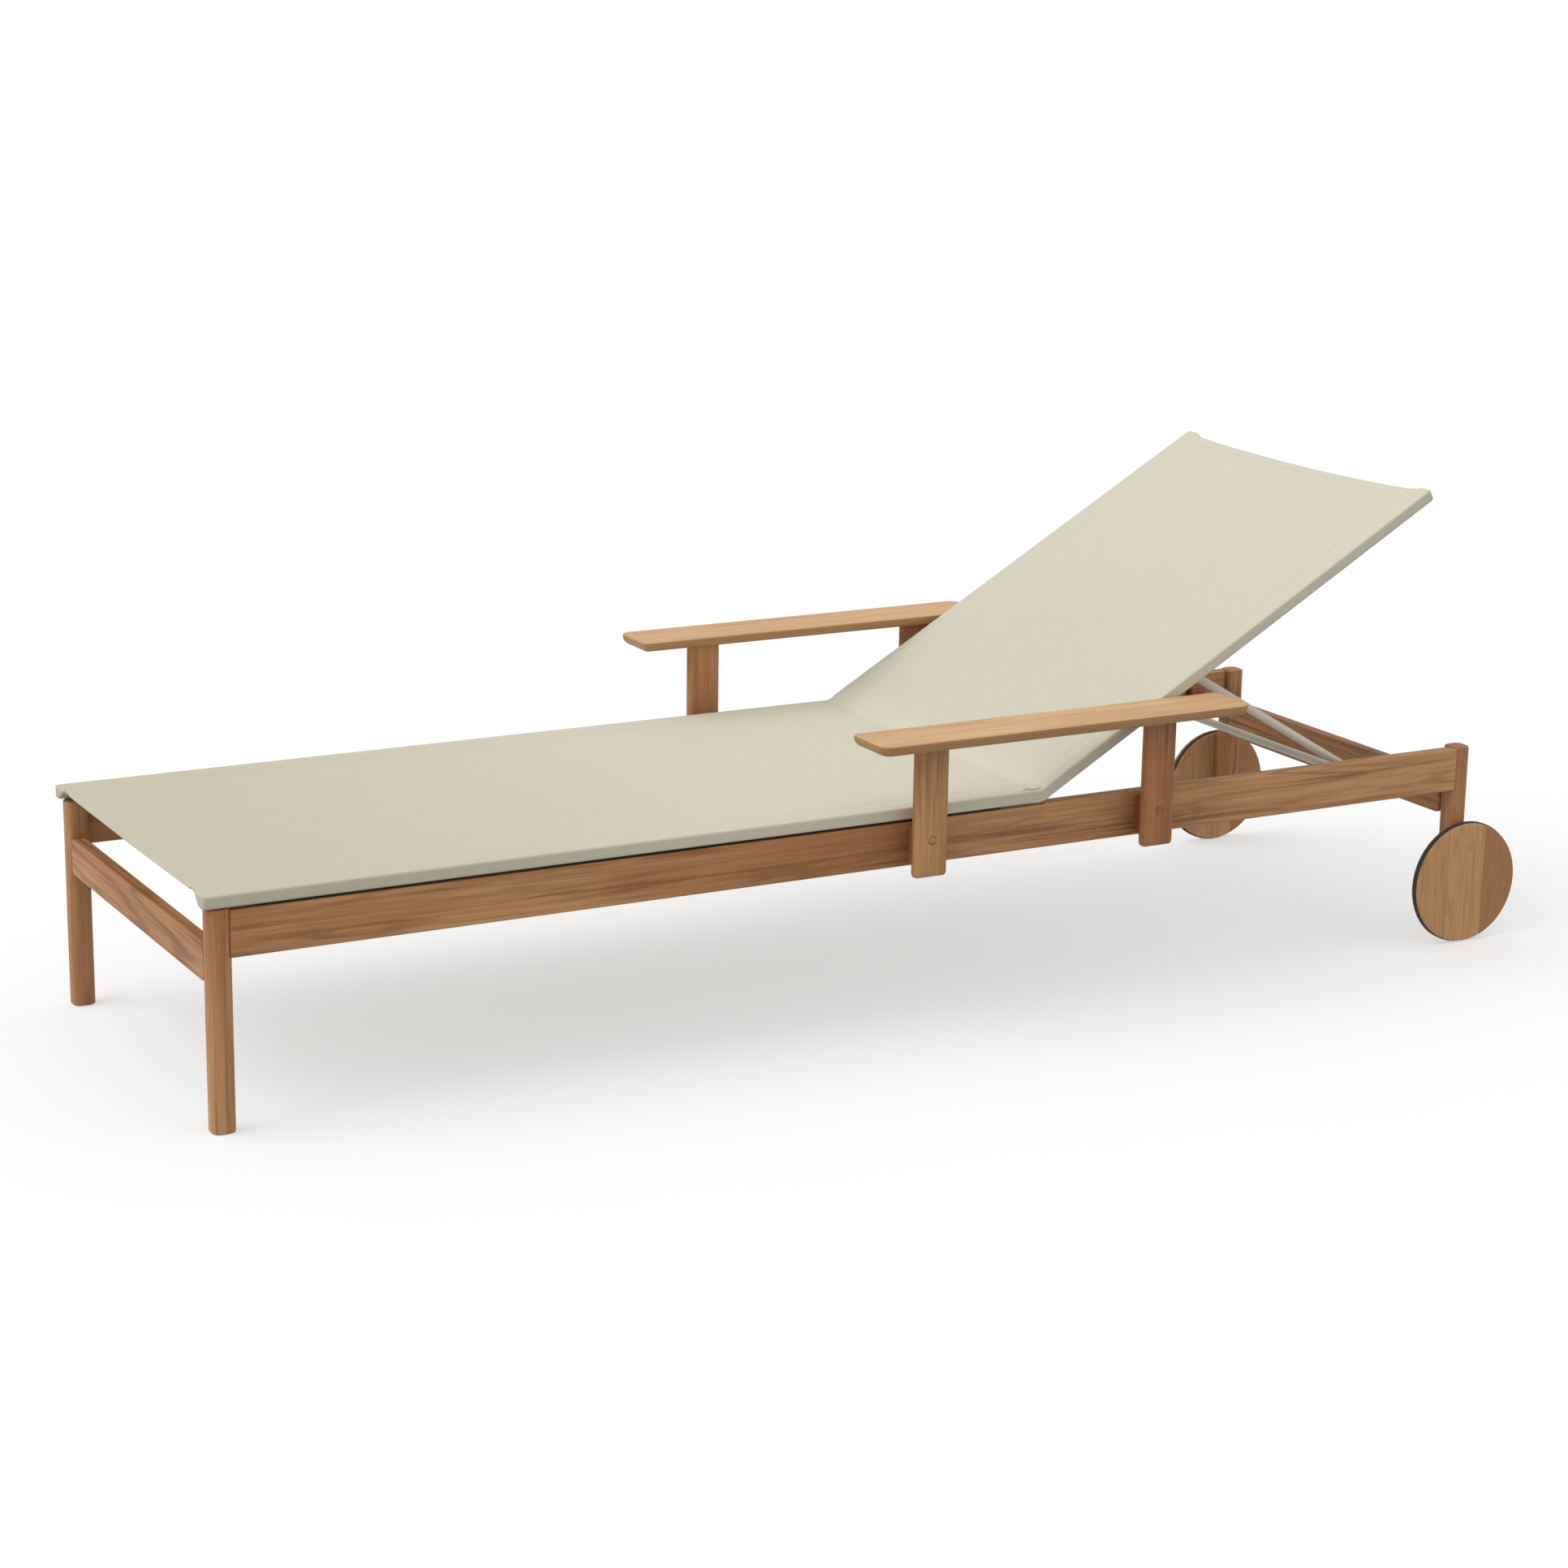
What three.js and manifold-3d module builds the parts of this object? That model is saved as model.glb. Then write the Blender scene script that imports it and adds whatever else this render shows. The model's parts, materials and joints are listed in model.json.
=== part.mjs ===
// Reclining sun lounger: teak frame on two legs and two wheels, fabric sling on aluminium side tubes,
// backrest hinged to the seat frame and held by a support bail that drops into notched racks.
// Millimetres. +X points to the head end, +Y to the sitter's right, +Z up. The origin is on the floor,
// under the middle of the lounger. At rest the backrest stands at BACK_ANGLE.
import * as THREE from 'three';
import { mergeVertices } from 'three/addons/utils/BufferGeometryUtils.js';
import Module from 'manifold-3d';

const wasm = await Module();
wasm.setup();

// ---- driving dimensions -------------------------------------------------------------------------
const LENGTH = 2006; // foot end of the side tubes to the back of the wheels
const LEG_PITCH = 1894; // foot leg axis to wheel axle
const WHEEL_RADIUS = 90;
const FRAME_OUTER_Y = 295; // outer face of side rails and legs
const FRAME_TOP_Z = 286.5; // top of side rails and legs
const GAP = 0.3; // working gap between touching pieces

const LEG_SIDE = 31;
const LEG_ROUND = 11;
const RAIL_THICK = 20;
const RAIL_HEIGHT = 62.5;
const EASE = 2.5; // eased edge of the teak pieces

const TUBE_WIDTH = 18;
const TUBE_HEIGHT = 14;
const TUBE_WALL = 1.6;
const TUBE_ROUND = 5.5;
const TUBE_OUTER_Y = 296;
const TUBE_Z = 297; // centre height of the seat tubes, and of the hinge axis

const HINGE_FROM_FOOT_LEG = 1166;
const BACK_LENGTH = 739; // hinge axis to the head end of the back tubes
const BACK_ANGLE = 30; // backrest above horizontal at rest, in degrees
const BACK_STEEPEST = 60; // steepest of the notch positions

const BAIL_UP = 296; // hinge axis to bail pivot, along the back tube
const BAIL_DROP = 8; // bail pivot below the back tube's centre line
const BAIL_ARM = 380.6; // bail pivot to the axis of the cross bar
const BAIL_REST_ANGLE = 60.47; // backrest to bail arm at rest, in degrees
const BAIL_RATIO = 1.77; // bail turn for each degree of backrest turn
const BAIL_ROD_RADIUS = 6;
const BAIL_ARM_Y = 251;
const BAIL_BAR_HALF = 258;
const NOTCH_ANGLES = [20, 30, 40, 50, 60]; // backrest angles that the racks hold

const ARM_TOP_Z = 416.7;
const ARM_THICK = 15;
const ARM_WIDTH = 87;
const ARM_LENGTH = 580;
const ARM_OUTER_Y = 391;
const ARM_FROM_FOOT_LEG = 862;
const POST_WIDTH = 49.4;
const POST_THICK = 16;
const POST_OUTER_Y = 337;
const POST_BOTTOM_Z = 217;
const POST_FROM_FOOT_LEG = [945.2, 1307.6];

// ---- places worked out from them ----------------------------------------------------------------
const FOOT_END_X = -LENGTH / 2;
const AXLE_X = LENGTH / 2 - WHEEL_RADIUS;
const FOOT_LEG_X = AXLE_X - LEG_PITCH;
const LEG_Y = FRAME_OUTER_Y - LEG_SIDE / 2;
const LEG_INNER_Y = FRAME_OUTER_Y - LEG_SIDE;
const RAIL_INNER_Y = FRAME_OUTER_Y - RAIL_THICK;
const RAIL_BOTTOM_Z = FRAME_TOP_Z - RAIL_HEIGHT;
const HINGE_X = FOOT_LEG_X + HINGE_FROM_FOOT_LEG;
const TUBE_Y = TUBE_OUTER_Y - TUBE_WIDTH / 2;
const TUBE_INNER_Y = TUBE_OUTER_Y - TUBE_WIDTH;
const POST_Y = POST_OUTER_Y - POST_THICK / 2;
const POST_TOP_Z = ARM_TOP_Z - ARM_THICK - GAP;
const SIDES = { left: -1, right: 1 };
const HALF_TURN = Math.PI;
const QUARTER_TURN = Math.PI / 2;

// ---- materials ----------------------------------------------------------------------------------
const finish = (color, roughness, metalness = 0) =>
  new THREE.MeshStandardMaterial({ color, roughness, metalness });
const teak = () => finish(0x976c49, 0.62);
const armTeak = () => finish(0xd3aa7b, 0.55);
const coatedMetal = () => finish(0xc9c4b4, 0.45, 0.1);
const fabric = () => finish(0xcdc5af, 0.9);
const darkPlastic = () => finish(0x2b2b2d, 0.6);
const tyreRubber = () => finish(0x262628, 0.85);
const steel = () => finish(0xb8b9bb, 0.35, 0.9);

// ---- geometry helpers ---------------------------------------------------------------------------
const lounger = new THREE.Group();

function addPiece(name, geometry, material, parent = lounger) {
  const mesh = new THREE.Mesh(geometry, material);
  mesh.name = name;
  parent.add(mesh);
  return mesh;
}

// One ring of a rounded rectangle, drawn in by `inset`; radii start at the (+a, +b) corner.
function roundedRing(halfA, halfB, radii, inset, steps) {
  const smallest = 0.3;
  const signs = [[1, 1], [-1, 1], [-1, -1], [1, -1]];
  const ring = [];
  signs.forEach(([signA, signB], corner) => {
    const radius = Math.max(radii[corner] - inset, smallest);
    const centreA = signA * (halfA - inset - radius);
    const centreB = signB * (halfB - inset - radius);
    for (let step = 0; step <= steps; step += 1) {
      const angle = (corner + step / steps) * QUARTER_TURN;
      ring.push([centreA + radius * Math.cos(angle), centreB + radius * Math.sin(angle)]);
    }
  });
  return ring;
}

// Closed solid through rounded rectangles stacked along Z; `rows` holds [inset, z] from the bottom up.
function stackedSolid(sizeA, sizeB, radii, rows, steps = 3) {
  const positions = [];
  const indices = [];
  const rings = rows.map(([inset]) => roundedRing(sizeA / 2, sizeB / 2, radii, inset, steps));
  rings.forEach((ring, row) => ring.forEach(([a, b]) => positions.push(a, b, rows[row][1])));
  const count = rings[0].length;
  for (let row = 0; row + 1 < rows.length; row += 1) {
    for (let i = 0; i < count; i += 1) {
      const next = (i + 1) % count;
      const low = row * count;
      const high = low + count;
      indices.push(low + i, low + next, high + next, low + i, high + next, high + i);
    }
  }
  const bottom = positions.length / 3;
  positions.push(0, 0, rows[0][1], 0, 0, rows.at(-1)[1]);
  const lastRing = (rows.length - 1) * count;
  for (let i = 0; i < count; i += 1) {
    const next = (i + 1) % count;
    indices.push(bottom, next, i, bottom + 1, lastRing + i, lastRing + next);
  }
  const geometry = new THREE.BufferGeometry();
  geometry.setAttribute('position', new THREE.Float32BufferAttribute(positions, 3));
  geometry.setIndex(indices);
  return geometry;
}

// Rows of a quarter-round edge at the bottom and the top of a stack of the given height; an edge
// under a millimetre is a plain chamfer.
function easedRows(height, bottomEase, topEase = bottomEase, bigSteps = 2) {
  const steps = Math.max(bottomEase, topEase) < 1 ? 1 : bigSteps;
  const rows = [];
  for (let step = 0; step <= steps; step += 1) {
    const angle = (step / steps) * QUARTER_TURN;
    rows.push([bottomEase * (1 - Math.sin(angle)), bottomEase * (1 - Math.cos(angle))]);
  }
  for (let step = 0; step <= steps; step += 1) {
    const angle = (step / steps) * QUARTER_TURN;
    rows.push([topEase * (1 - Math.cos(angle)), height - topEase * (1 - Math.sin(angle))]);
  }
  return rows;
}

const equalRadii = (radius) => [radius, radius, radius, radius];

// Upright piece: section sizeX by sizeY, standing from z = 0 to its height.
function uprightBar(sizeX, sizeY, height, round, ease) {
  return stackedSolid(sizeX, sizeY, equalRadii(round), easedRows(height, ease), 4);
}

// Bar along X, centred: section sizeY by sizeZ.
function barAlongX(length, sizeY, sizeZ, round, ease) {
  const bar = stackedSolid(sizeZ, sizeY, equalRadii(round), easedRows(length, ease));
  bar.translate(0, 0, -length / 2);
  bar.rotateY(QUARTER_TURN);
  return bar;
}

// Plank with its broad face square to X, centred: sizeY by sizeZ with rounded corners, thickX thick.
function plankFacingX(thickX, sizeY, sizeZ, corner, ease) {
  const plank = stackedSolid(sizeZ, sizeY, equalRadii(corner), easedRows(thickX, ease));
  plank.translate(0, 0, -thickX / 2);
  plank.rotateY(QUARTER_TURN);
  return plank;
}

// Block with its broad face square to Y, centred: sizeX by sizeZ with rounded corners, thickY thick.
function blockFacingY(sizeX, thickY, sizeZ, corner, ease) {
  const block = stackedSolid(sizeX, sizeZ, equalRadii(corner), easedRows(thickY, ease));
  block.translate(0, 0, -thickY / 2);
  block.rotateX(QUARTER_TURN);
  return block;
}

// Turned piece on the Y axis; `profile` holds [radius, y] and starts and ends on the axis or closes.
function turnedOnY(profile, segments) {
  const points = profile.map(([radius, y]) => new THREE.Vector2(radius, y));
  return new THREE.LatheGeometry(points, segments);
}

// Round rod along Y, centred.
function rodOnY(radius, length, segments = 20) {
  return new THREE.CylinderGeometry(radius, radius, length, segments);
}

function toSolid(geometry) {
  const bare = geometry.clone();
  bare.deleteAttribute('normal');
  bare.deleteAttribute('uv');
  const merged = mergeVertices(bare, 1e-4);
  return new wasm.Manifold(new wasm.Mesh({
    numProp: 3,
    vertProperties: new Float32Array(merged.attributes.position.array),
    triVerts: new Uint32Array(merged.index.array),
  }));
}

function toGeometry(solid) {
  const { vertProperties, triVerts } = solid.getMesh();
  const geometry = new THREE.BufferGeometry();
  geometry.setAttribute('position', new THREE.Float32BufferAttribute(vertProperties, 3));
  geometry.setIndex(Array.from(triVerts));
  return geometry;
}

function cut(geometry, ...tools) {
  const solid = tools.reduce((left, tool) => left.subtract(toSolid(tool)), toSolid(geometry));
  return toGeometry(solid);
}

function join(...geometries) {
  return toGeometry(geometries.map(toSolid).reduce((left, right) => left.add(right)));
}

// ---- teak frame ---------------------------------------------------------------------------------
const REAR_LEG_BOTTOM_Z = 58;
const REAR_LEG_TOP_Z = 288.2;
const AXLE_RADIUS = 6;

function addLegs(side, y) {
  const footLeg = uprightBar(LEG_SIDE, LEG_SIDE, FRAME_TOP_Z, LEG_ROUND, EASE);
  addPiece(`foot_leg_${side}`, footLeg, teak()).position.set(FOOT_LEG_X, y * LEG_Y, 0);

  const rearLeg = uprightBar(LEG_SIDE, LEG_SIDE, REAR_LEG_TOP_Z - REAR_LEG_BOTTOM_Z, LEG_ROUND, EASE);
  rearLeg.translate(0, 0, REAR_LEG_BOTTOM_Z);
  const axleHole = rodOnY(AXLE_RADIUS + GAP, LEG_SIDE + EASE);
  axleHole.translate(0, 0, WHEEL_RADIUS);
  addPiece(`rear_leg_${side}`, cut(rearLeg, axleHole), teak()).position.set(AXLE_X, y * LEG_Y, 0);
}

// Side rail, lowered a little under the seat tubes, with a short ramp behind the hinge.
// Its outer face laps a little round the rounded corners of both legs.
function addSideRail(side, y) {
  const lap = 4;
  const recessDepth = 2;
  const rampStart = 4;
  const rampEnd = 12;
  const startX = FOOT_LEG_X + LEG_SIDE / 2 + GAP;
  const endX = AXLE_X - LEG_SIDE / 2 - GAP;
  const rail = barAlongX(endX - startX + 2 * lap, RAIL_THICK, RAIL_HEIGHT, EASE, 0.6);
  rail.translate((startX + endX) / 2, 0, FRAME_TOP_Z - RAIL_HEIGHT / 2);
  const recess = new THREE.Shape([
    new THREE.Vector2(startX - lap - EASE, FRAME_TOP_Z - recessDepth),
    new THREE.Vector2(HINGE_X + rampStart, FRAME_TOP_Z - recessDepth),
    new THREE.Vector2(HINGE_X + rampEnd, FRAME_TOP_Z + recessDepth),
    new THREE.Vector2(startX - lap - EASE, FRAME_TOP_Z + recessDepth),
  ]);
  const cutter = new THREE.ExtrudeGeometry(recess, { depth: RAIL_THICK * 2, bevelEnabled: false });
  cutter.translate(0, 0, -RAIL_THICK);
  cutter.rotateX(QUARTER_TURN);
  const railY = y * (FRAME_OUTER_Y - RAIL_THICK / 2);
  const legCutters = [FOOT_LEG_X, AXLE_X].map((x) => {
    const clearSide = LEG_SIDE + 2 * GAP;
    const leg = uprightBar(clearSide, clearSide, FRAME_TOP_Z + 50, LEG_ROUND + GAP, 0.6);
    leg.translate(x, y * LEG_Y - railY, 0);
    return leg;
  });
  addPiece(`side_rail_${side}`, cut(rail, cutter, ...legCutters), teak()).position.set(0, railY, 0);
}

function addCrossRail(name, fromX, thick, bottomZ, topZ, halfLength) {
  const plank = plankFacingX(thick, 2 * halfLength, topZ - bottomZ, 8, EASE);
  addPiece(name, plank, teak()).position.set(fromX + thick / 2, 0, (bottomZ + topZ) / 2);
}

function addCrossRails() {
  const thick = 19;
  const legFace = LEG_SIDE / 2;
  const betweenLegs = LEG_INNER_Y - GAP;
  addCrossRail('foot_cross_rail', FOOT_LEG_X - legFace + 2.5, thick, 188, 238, betweenLegs);
  addCrossRail('rear_cross_rail', AXLE_X - legFace + 1, thick, 183.5, 239.5, betweenLegs);
  addCrossRail('middle_cross_rail', HINGE_X - 70, thick, 226, 274, RAIL_INNER_Y - GAP);
}

// ---- armrests -----------------------------------------------------------------------------------
function addArmrest(side, y) {
  const inner = 9;
  const outer = 17;
  const cornersAcross = y > 0 ? [outer, outer, inner, inner] : [inner, inner, outer, outer];
  const topEase = 1.4;
  const bottomEase = 12;
  const rows = easedRows(ARM_THICK, bottomEase, topEase, 3);
  const board = stackedSolid(ARM_LENGTH, ARM_WIDTH, cornersAcross, rows, 5);
  const armX = FOOT_LEG_X + ARM_FROM_FOOT_LEG + ARM_LENGTH / 2;
  const armY = y * (ARM_OUTER_Y - ARM_WIDTH / 2);
  addPiece(`armrest_${side}`, board, armTeak()).position.set(armX, armY, ARM_TOP_Z - ARM_THICK);
}

function addArmPosts(side, y) {
  const postRound = 6;
  const spacerWidth = 25;
  const spacerHeight = 53;
  const spacerZ = 253;
  const spacerFrom = FRAME_OUTER_Y + GAP;
  const spacerTo = POST_OUTER_Y - POST_THICK - GAP;
  const ends = ['front', 'rear'];
  ends.forEach((end, i) => {
    const x = FOOT_LEG_X + POST_FROM_FOOT_LEG[i] + POST_WIDTH / 2;
    const post = stackedSolid(POST_WIDTH, POST_THICK, equalRadii(postRound),
      easedRows(POST_TOP_Z - POST_BOTTOM_Z, 5, 0.6));
    addPiece(`arm_post_${end}_${side}`, post, teak()).position.set(x, y * POST_Y, POST_BOTTOM_Z);
    const spacer = blockFacingY(spacerWidth, spacerTo - spacerFrom, spacerHeight, 4, 0.5);
    const spacerY = y * (spacerFrom + spacerTo) / 2;
    addPiece(`arm_spacer_${end}_${side}`, spacer, teak()).position.set(x, spacerY, spacerZ);
  });
}

// ---- side tubes, hinges and sling, built flat about the hinge axis ------------------------------
const TUBE_FROM_HINGE = 12;
const CAP_FLANGE = 9;
const CAP_OUTER_ROUND = 8;
const SPIGOT_LENGTH = 16;
const PIN_RADIUS = 3;
const LUG_RADIUS = 6.8;
const LUG_WIDTH = 7.2;

const seatFrame = new THREE.Group();
seatFrame.position.set(HINGE_X, 0, TUBE_Z);
const backFrame = new THREE.Group();
backFrame.position.copy(seatFrame.position);
backFrame.rotation.y = -THREE.MathUtils.degToRad(BACK_ANGLE);
lounger.add(seatFrame, backFrame);

function roundedRectPath(target, width, height, round) {
  const w = width / 2;
  const h = height / 2;
  target.moveTo(-w + round, -h);
  target.lineTo(w - round, -h);
  target.absarc(w - round, -h + round, round, -QUARTER_TURN, 0);
  target.lineTo(w, h - round);
  target.absarc(w - round, h - round, round, 0, QUARTER_TURN);
  target.lineTo(-w + round, h);
  target.absarc(-w + round, h - round, round, QUARTER_TURN, HALF_TURN);
  target.lineTo(-w, -h + round);
  target.absarc(-w + round, -h + round, round, HALF_TURN, HALF_TURN + QUARTER_TURN);
  return target;
}

// Hollow rounded tube along X from x = 0, centred on Y and Z.
function hollowTube(length, width, height, round, wall) {
  const section = roundedRectPath(new THREE.Shape(), height, width, round);
  section.holes.push(roundedRectPath(new THREE.Path(), height - 2 * wall, width - 2 * wall, round - wall));
  const tube = new THREE.ExtrudeGeometry(section, { depth: length, bevelEnabled: false, curveSegments: 3 });
  tube.rotateY(QUARTER_TURN);
  return tube;
}

const sideTube = (length) => hollowTube(length, TUBE_WIDTH, TUBE_HEIGHT, TUBE_ROUND, TUBE_WALL);

// Solid plug that fits inside a side tube, from x = 0 to its length.
function tubePlug(length) {
  const width = TUBE_WIDTH - 2 * (TUBE_WALL + GAP);
  const height = TUBE_HEIGHT - 2 * (TUBE_WALL + GAP);
  const plug = barAlongX(length, width, height, TUBE_ROUND - TUBE_WALL - GAP, 0.3);
  plug.translate(length / 2, 0, 0);
  return plug;
}

// End cap: flange from x = 0 to CAP_FLANGE, rounded off towards the outer side `y`, with its spigot beyond.
function endCap(y) {
  const flange = barAlongX(CAP_FLANGE, TUBE_WIDTH, TUBE_HEIGHT, TUBE_ROUND, 1.2);
  flange.translate(CAP_FLANGE / 2, 0, 0);
  const innerRound = 3;
  const radii = y > 0 ? [0, CAP_OUTER_ROUND, innerRound, 0] : [0, innerRound, CAP_OUTER_ROUND, 0];
  const rows = [[0, -TUBE_HEIGHT], [0, TUBE_HEIGHT]];
  const plan = stackedSolid(2 * CAP_FLANGE, TUBE_WIDTH + GAP, radii, rows, 5);
  plan.translate(CAP_FLANGE, 0, 0);
  const spigot = tubePlug(SPIGOT_LENGTH);
  spigot.translate(CAP_FLANGE - 0.5, 0, 0);
  return toGeometry(toSolid(flange).intersect(toSolid(plan)).add(toSolid(spigot)));
}

// Hinge leaf with its lug on the axis at the origin, its collar and its plug towards +X.
function hingeLeaf(lugY) {
  const collarFrom = 8;
  const collarLength = TUBE_FROM_HINGE - GAP - collarFrom;
  const collar = barAlongX(collarLength, TUBE_WIDTH, TUBE_HEIGHT, TUBE_ROUND, 0.3);
  collar.translate(collarFrom + collarLength / 2, 0, 0);
  const plug = tubePlug(SPIGOT_LENGTH);
  plug.translate(TUBE_FROM_HINGE - 2 * GAP, 0, 0);
  const web = new THREE.BoxGeometry(collarFrom + 1, LUG_WIDTH, LUG_RADIUS * 1.6);
  web.translate((collarFrom + 1) / 2, lugY, 0);
  const lug = rodOnY(LUG_RADIUS, LUG_WIDTH);
  lug.translate(0, lugY, 0);
  const bore = rodOnY(PIN_RADIUS + GAP, LUG_WIDTH * 3);
  return cut(join(collar, plug, web, lug), bore);
}

function addHinge(side, y) {
  const lugOffset = LUG_WIDTH / 2 + GAP;
  const seatLeaf = hingeLeaf(y * lugOffset);
  seatLeaf.rotateY(HALF_TURN);
  addPiece(`seat_hinge_${side}`, seatLeaf, steel(), seatFrame).position.set(0, y * TUBE_Y, 0);
  const backLeaf = hingeLeaf(-y * lugOffset);
  addPiece(`back_hinge_${side}`, backLeaf, steel(), backFrame).position.set(0, y * TUBE_Y, 0);
  const pin = rodOnY(PIN_RADIUS, 2 * LUG_WIDTH);
  addPiece(`hinge_pin_${side}`, pin, steel(), seatFrame).position.set(0, y * TUBE_Y, 0);
}

function addSideTubes(side, y) {
  const seatLength = HINGE_X - FOOT_END_X - CAP_FLANGE - GAP - TUBE_FROM_HINGE;
  const seatTube = addPiece(`seat_tube_${side}`, sideTube(seatLength), coatedMetal(), seatFrame);
  seatTube.position.set(-TUBE_FROM_HINGE - seatLength, y * TUBE_Y, 0);
  const seatCap = addPiece(`seat_end_cap_${side}`, endCap(y), darkPlastic(), seatFrame);
  seatCap.position.set(FOOT_END_X - HINGE_X, y * TUBE_Y, 0);

  const backLength = BACK_LENGTH - CAP_FLANGE - GAP - TUBE_FROM_HINGE;
  const backTube = addPiece(`back_tube_${side}`, sideTube(backLength), coatedMetal(), backFrame);
  backTube.position.set(TUBE_FROM_HINGE, y * TUBE_Y, 0);
  const backCapGeometry = endCap(y);
  backCapGeometry.rotateY(HALF_TURN);
  const backCap = addPiece(`back_end_cap_${side}`, backCapGeometry, darkPlastic(), backFrame);
  backCap.position.set(BACK_LENGTH, y * TUBE_Y, 0);
}

// Flat cross tube between the side tubes, a little below the sling.
function addCrossTube(name, x, parent) {
  const width = 25;
  const height = 12;
  const below = 2;
  const length = 2 * (TUBE_INNER_Y - GAP);
  const tube = hollowTube(length, width, height, 5, TUBE_WALL);
  tube.translate(-length / 2, 0, 0);
  tube.rotateZ(QUARTER_TURN);
  addPiece(name, tube, coatedMetal(), parent).position.set(x, 0, -below);
}

// Rubber strip that carries the seat tube on the side rail.
function addSeatRest(side, y) {
  const height = TUBE_Z - TUBE_HEIGHT / 2 - FRAME_TOP_Z + 2 - 2 * GAP;
  const footMargin = 70;
  const hingeMargin = 60;
  const length = HINGE_X - FOOT_END_X - footMargin - hingeMargin;
  const strip = barAlongX(length, 10, height, 1.5, 0.5);
  const x = -hingeMargin - length / 2;
  addPiece(`seat_rest_${side}`, strip, darkPlastic(), seatFrame)
    .position.set(x, y * (TUBE_Y - 2), -TUBE_HEIGHT / 2 - GAP - height / 2);
}

const SLING_THICK = 1.5;
const SLING_FROM_HINGE = 14;

function slingSheet(length) {
  const sheet = stackedSolid(length, 2 * TUBE_OUTER_Y, equalRadii(3), easedRows(SLING_THICK, 0.5), 2);
  sheet.translate(length / 2, 0, TUBE_HEIGHT / 2 + GAP);
  return sheet;
}

function addSling() {
  const seatLength = HINGE_X - FOOT_END_X - SLING_FROM_HINGE;
  const seat = addPiece('seat_sling', slingSheet(seatLength), fabric(), seatFrame);
  seat.position.set(-SLING_FROM_HINGE - seatLength, 0, 0);
  const backLength = BACK_LENGTH - SLING_FROM_HINGE;
  addPiece('back_sling', slingSheet(backLength), fabric(), backFrame).position.set(SLING_FROM_HINGE, 0, 0);
}

// ---- support bail and racks ---------------------------------------------------------------------
const bail = new THREE.Group();
bail.position.set(BAIL_UP, 0, -BAIL_DROP);
bail.rotation.y = THREE.MathUtils.degToRad(BAIL_REST_ANGLE);
backFrame.add(bail);

const BAIL_EYE_RADIUS = 9;
const BAIL_STUD_RADIUS = 4;

function addBailBracket(side, y) {
  const plateThick = 3.8;
  const plateY = TUBE_INNER_Y - GAP - plateThick / 2;
  const plate = blockFacingY(40, plateThick, 14, 4, 0.4);
  plate.translate(0, y * plateY, -3);
  const studEndY = RAIL_INNER_Y - 0.5; // the flat backrest brings the stud down beside the rail
  const studLength = studEndY - BAIL_ARM_Y + BAIL_ROD_RADIUS + 2;
  const stud = rodOnY(BAIL_STUD_RADIUS, studLength);
  stud.translate(0, y * (studEndY - studLength / 2), -BAIL_DROP);
  const headThick = 2;
  const headY = BAIL_ARM_Y - BAIL_ROD_RADIUS - GAP - headThick / 2;
  const head = rodOnY(BAIL_STUD_RADIUS + 2.5, headThick);
  head.translate(0, y * headY, -BAIL_DROP);
  const bracket = join(plate, stud, head);
  addPiece(`bail_bracket_${side}`, bracket, steel(), backFrame).position.set(BAIL_UP, 0, 0);
}

function addBailArm(side, y) {
  const rod = rodOnY(BAIL_ROD_RADIUS, BAIL_ARM);
  rod.rotateZ(QUARTER_TURN);
  rod.translate(BAIL_ARM / 2, 0, 0);
  const eye = rodOnY(BAIL_EYE_RADIUS, 2 * BAIL_ROD_RADIUS - 3);
  const studHole = rodOnY(BAIL_STUD_RADIUS + GAP, 6 * BAIL_ROD_RADIUS);
  const barSeat = rodOnY(BAIL_ROD_RADIUS + GAP, 6 * BAIL_ROD_RADIUS);
  barSeat.translate(BAIL_ARM, 0, 0);
  const arm = cut(join(rod, eye), studHole, barSeat);
  addPiece(`bail_arm_${side}`, arm, coatedMetal(), bail).position.set(0, y * BAIL_ARM_Y, 0);
}

function addBailBar() {
  const bar = rodOnY(BAIL_ROD_RADIUS, 2 * BAIL_BAR_HALF);
  addPiece('bail_cross_bar', bar, coatedMetal(), bail).position.set(BAIL_ARM, 0, 0);
}

// Centre of the cross bar, [x, z], with the backrest at the given angle.
function barCentre(backAngle) {
  const back = THREE.MathUtils.degToRad(backAngle);
  const fold = BAIL_REST_ANGLE + BAIL_RATIO * (backAngle - BACK_ANGLE);
  const arm = back - THREE.MathUtils.degToRad(fold);
  const x = HINGE_X + BAIL_UP * Math.cos(back) + BAIL_DROP * Math.sin(back) + BAIL_ARM * Math.cos(arm);
  const z = TUBE_Z + BAIL_UP * Math.sin(back) - BAIL_DROP * Math.cos(back) + BAIL_ARM * Math.sin(arm);
  return [x, z];
}

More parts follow.
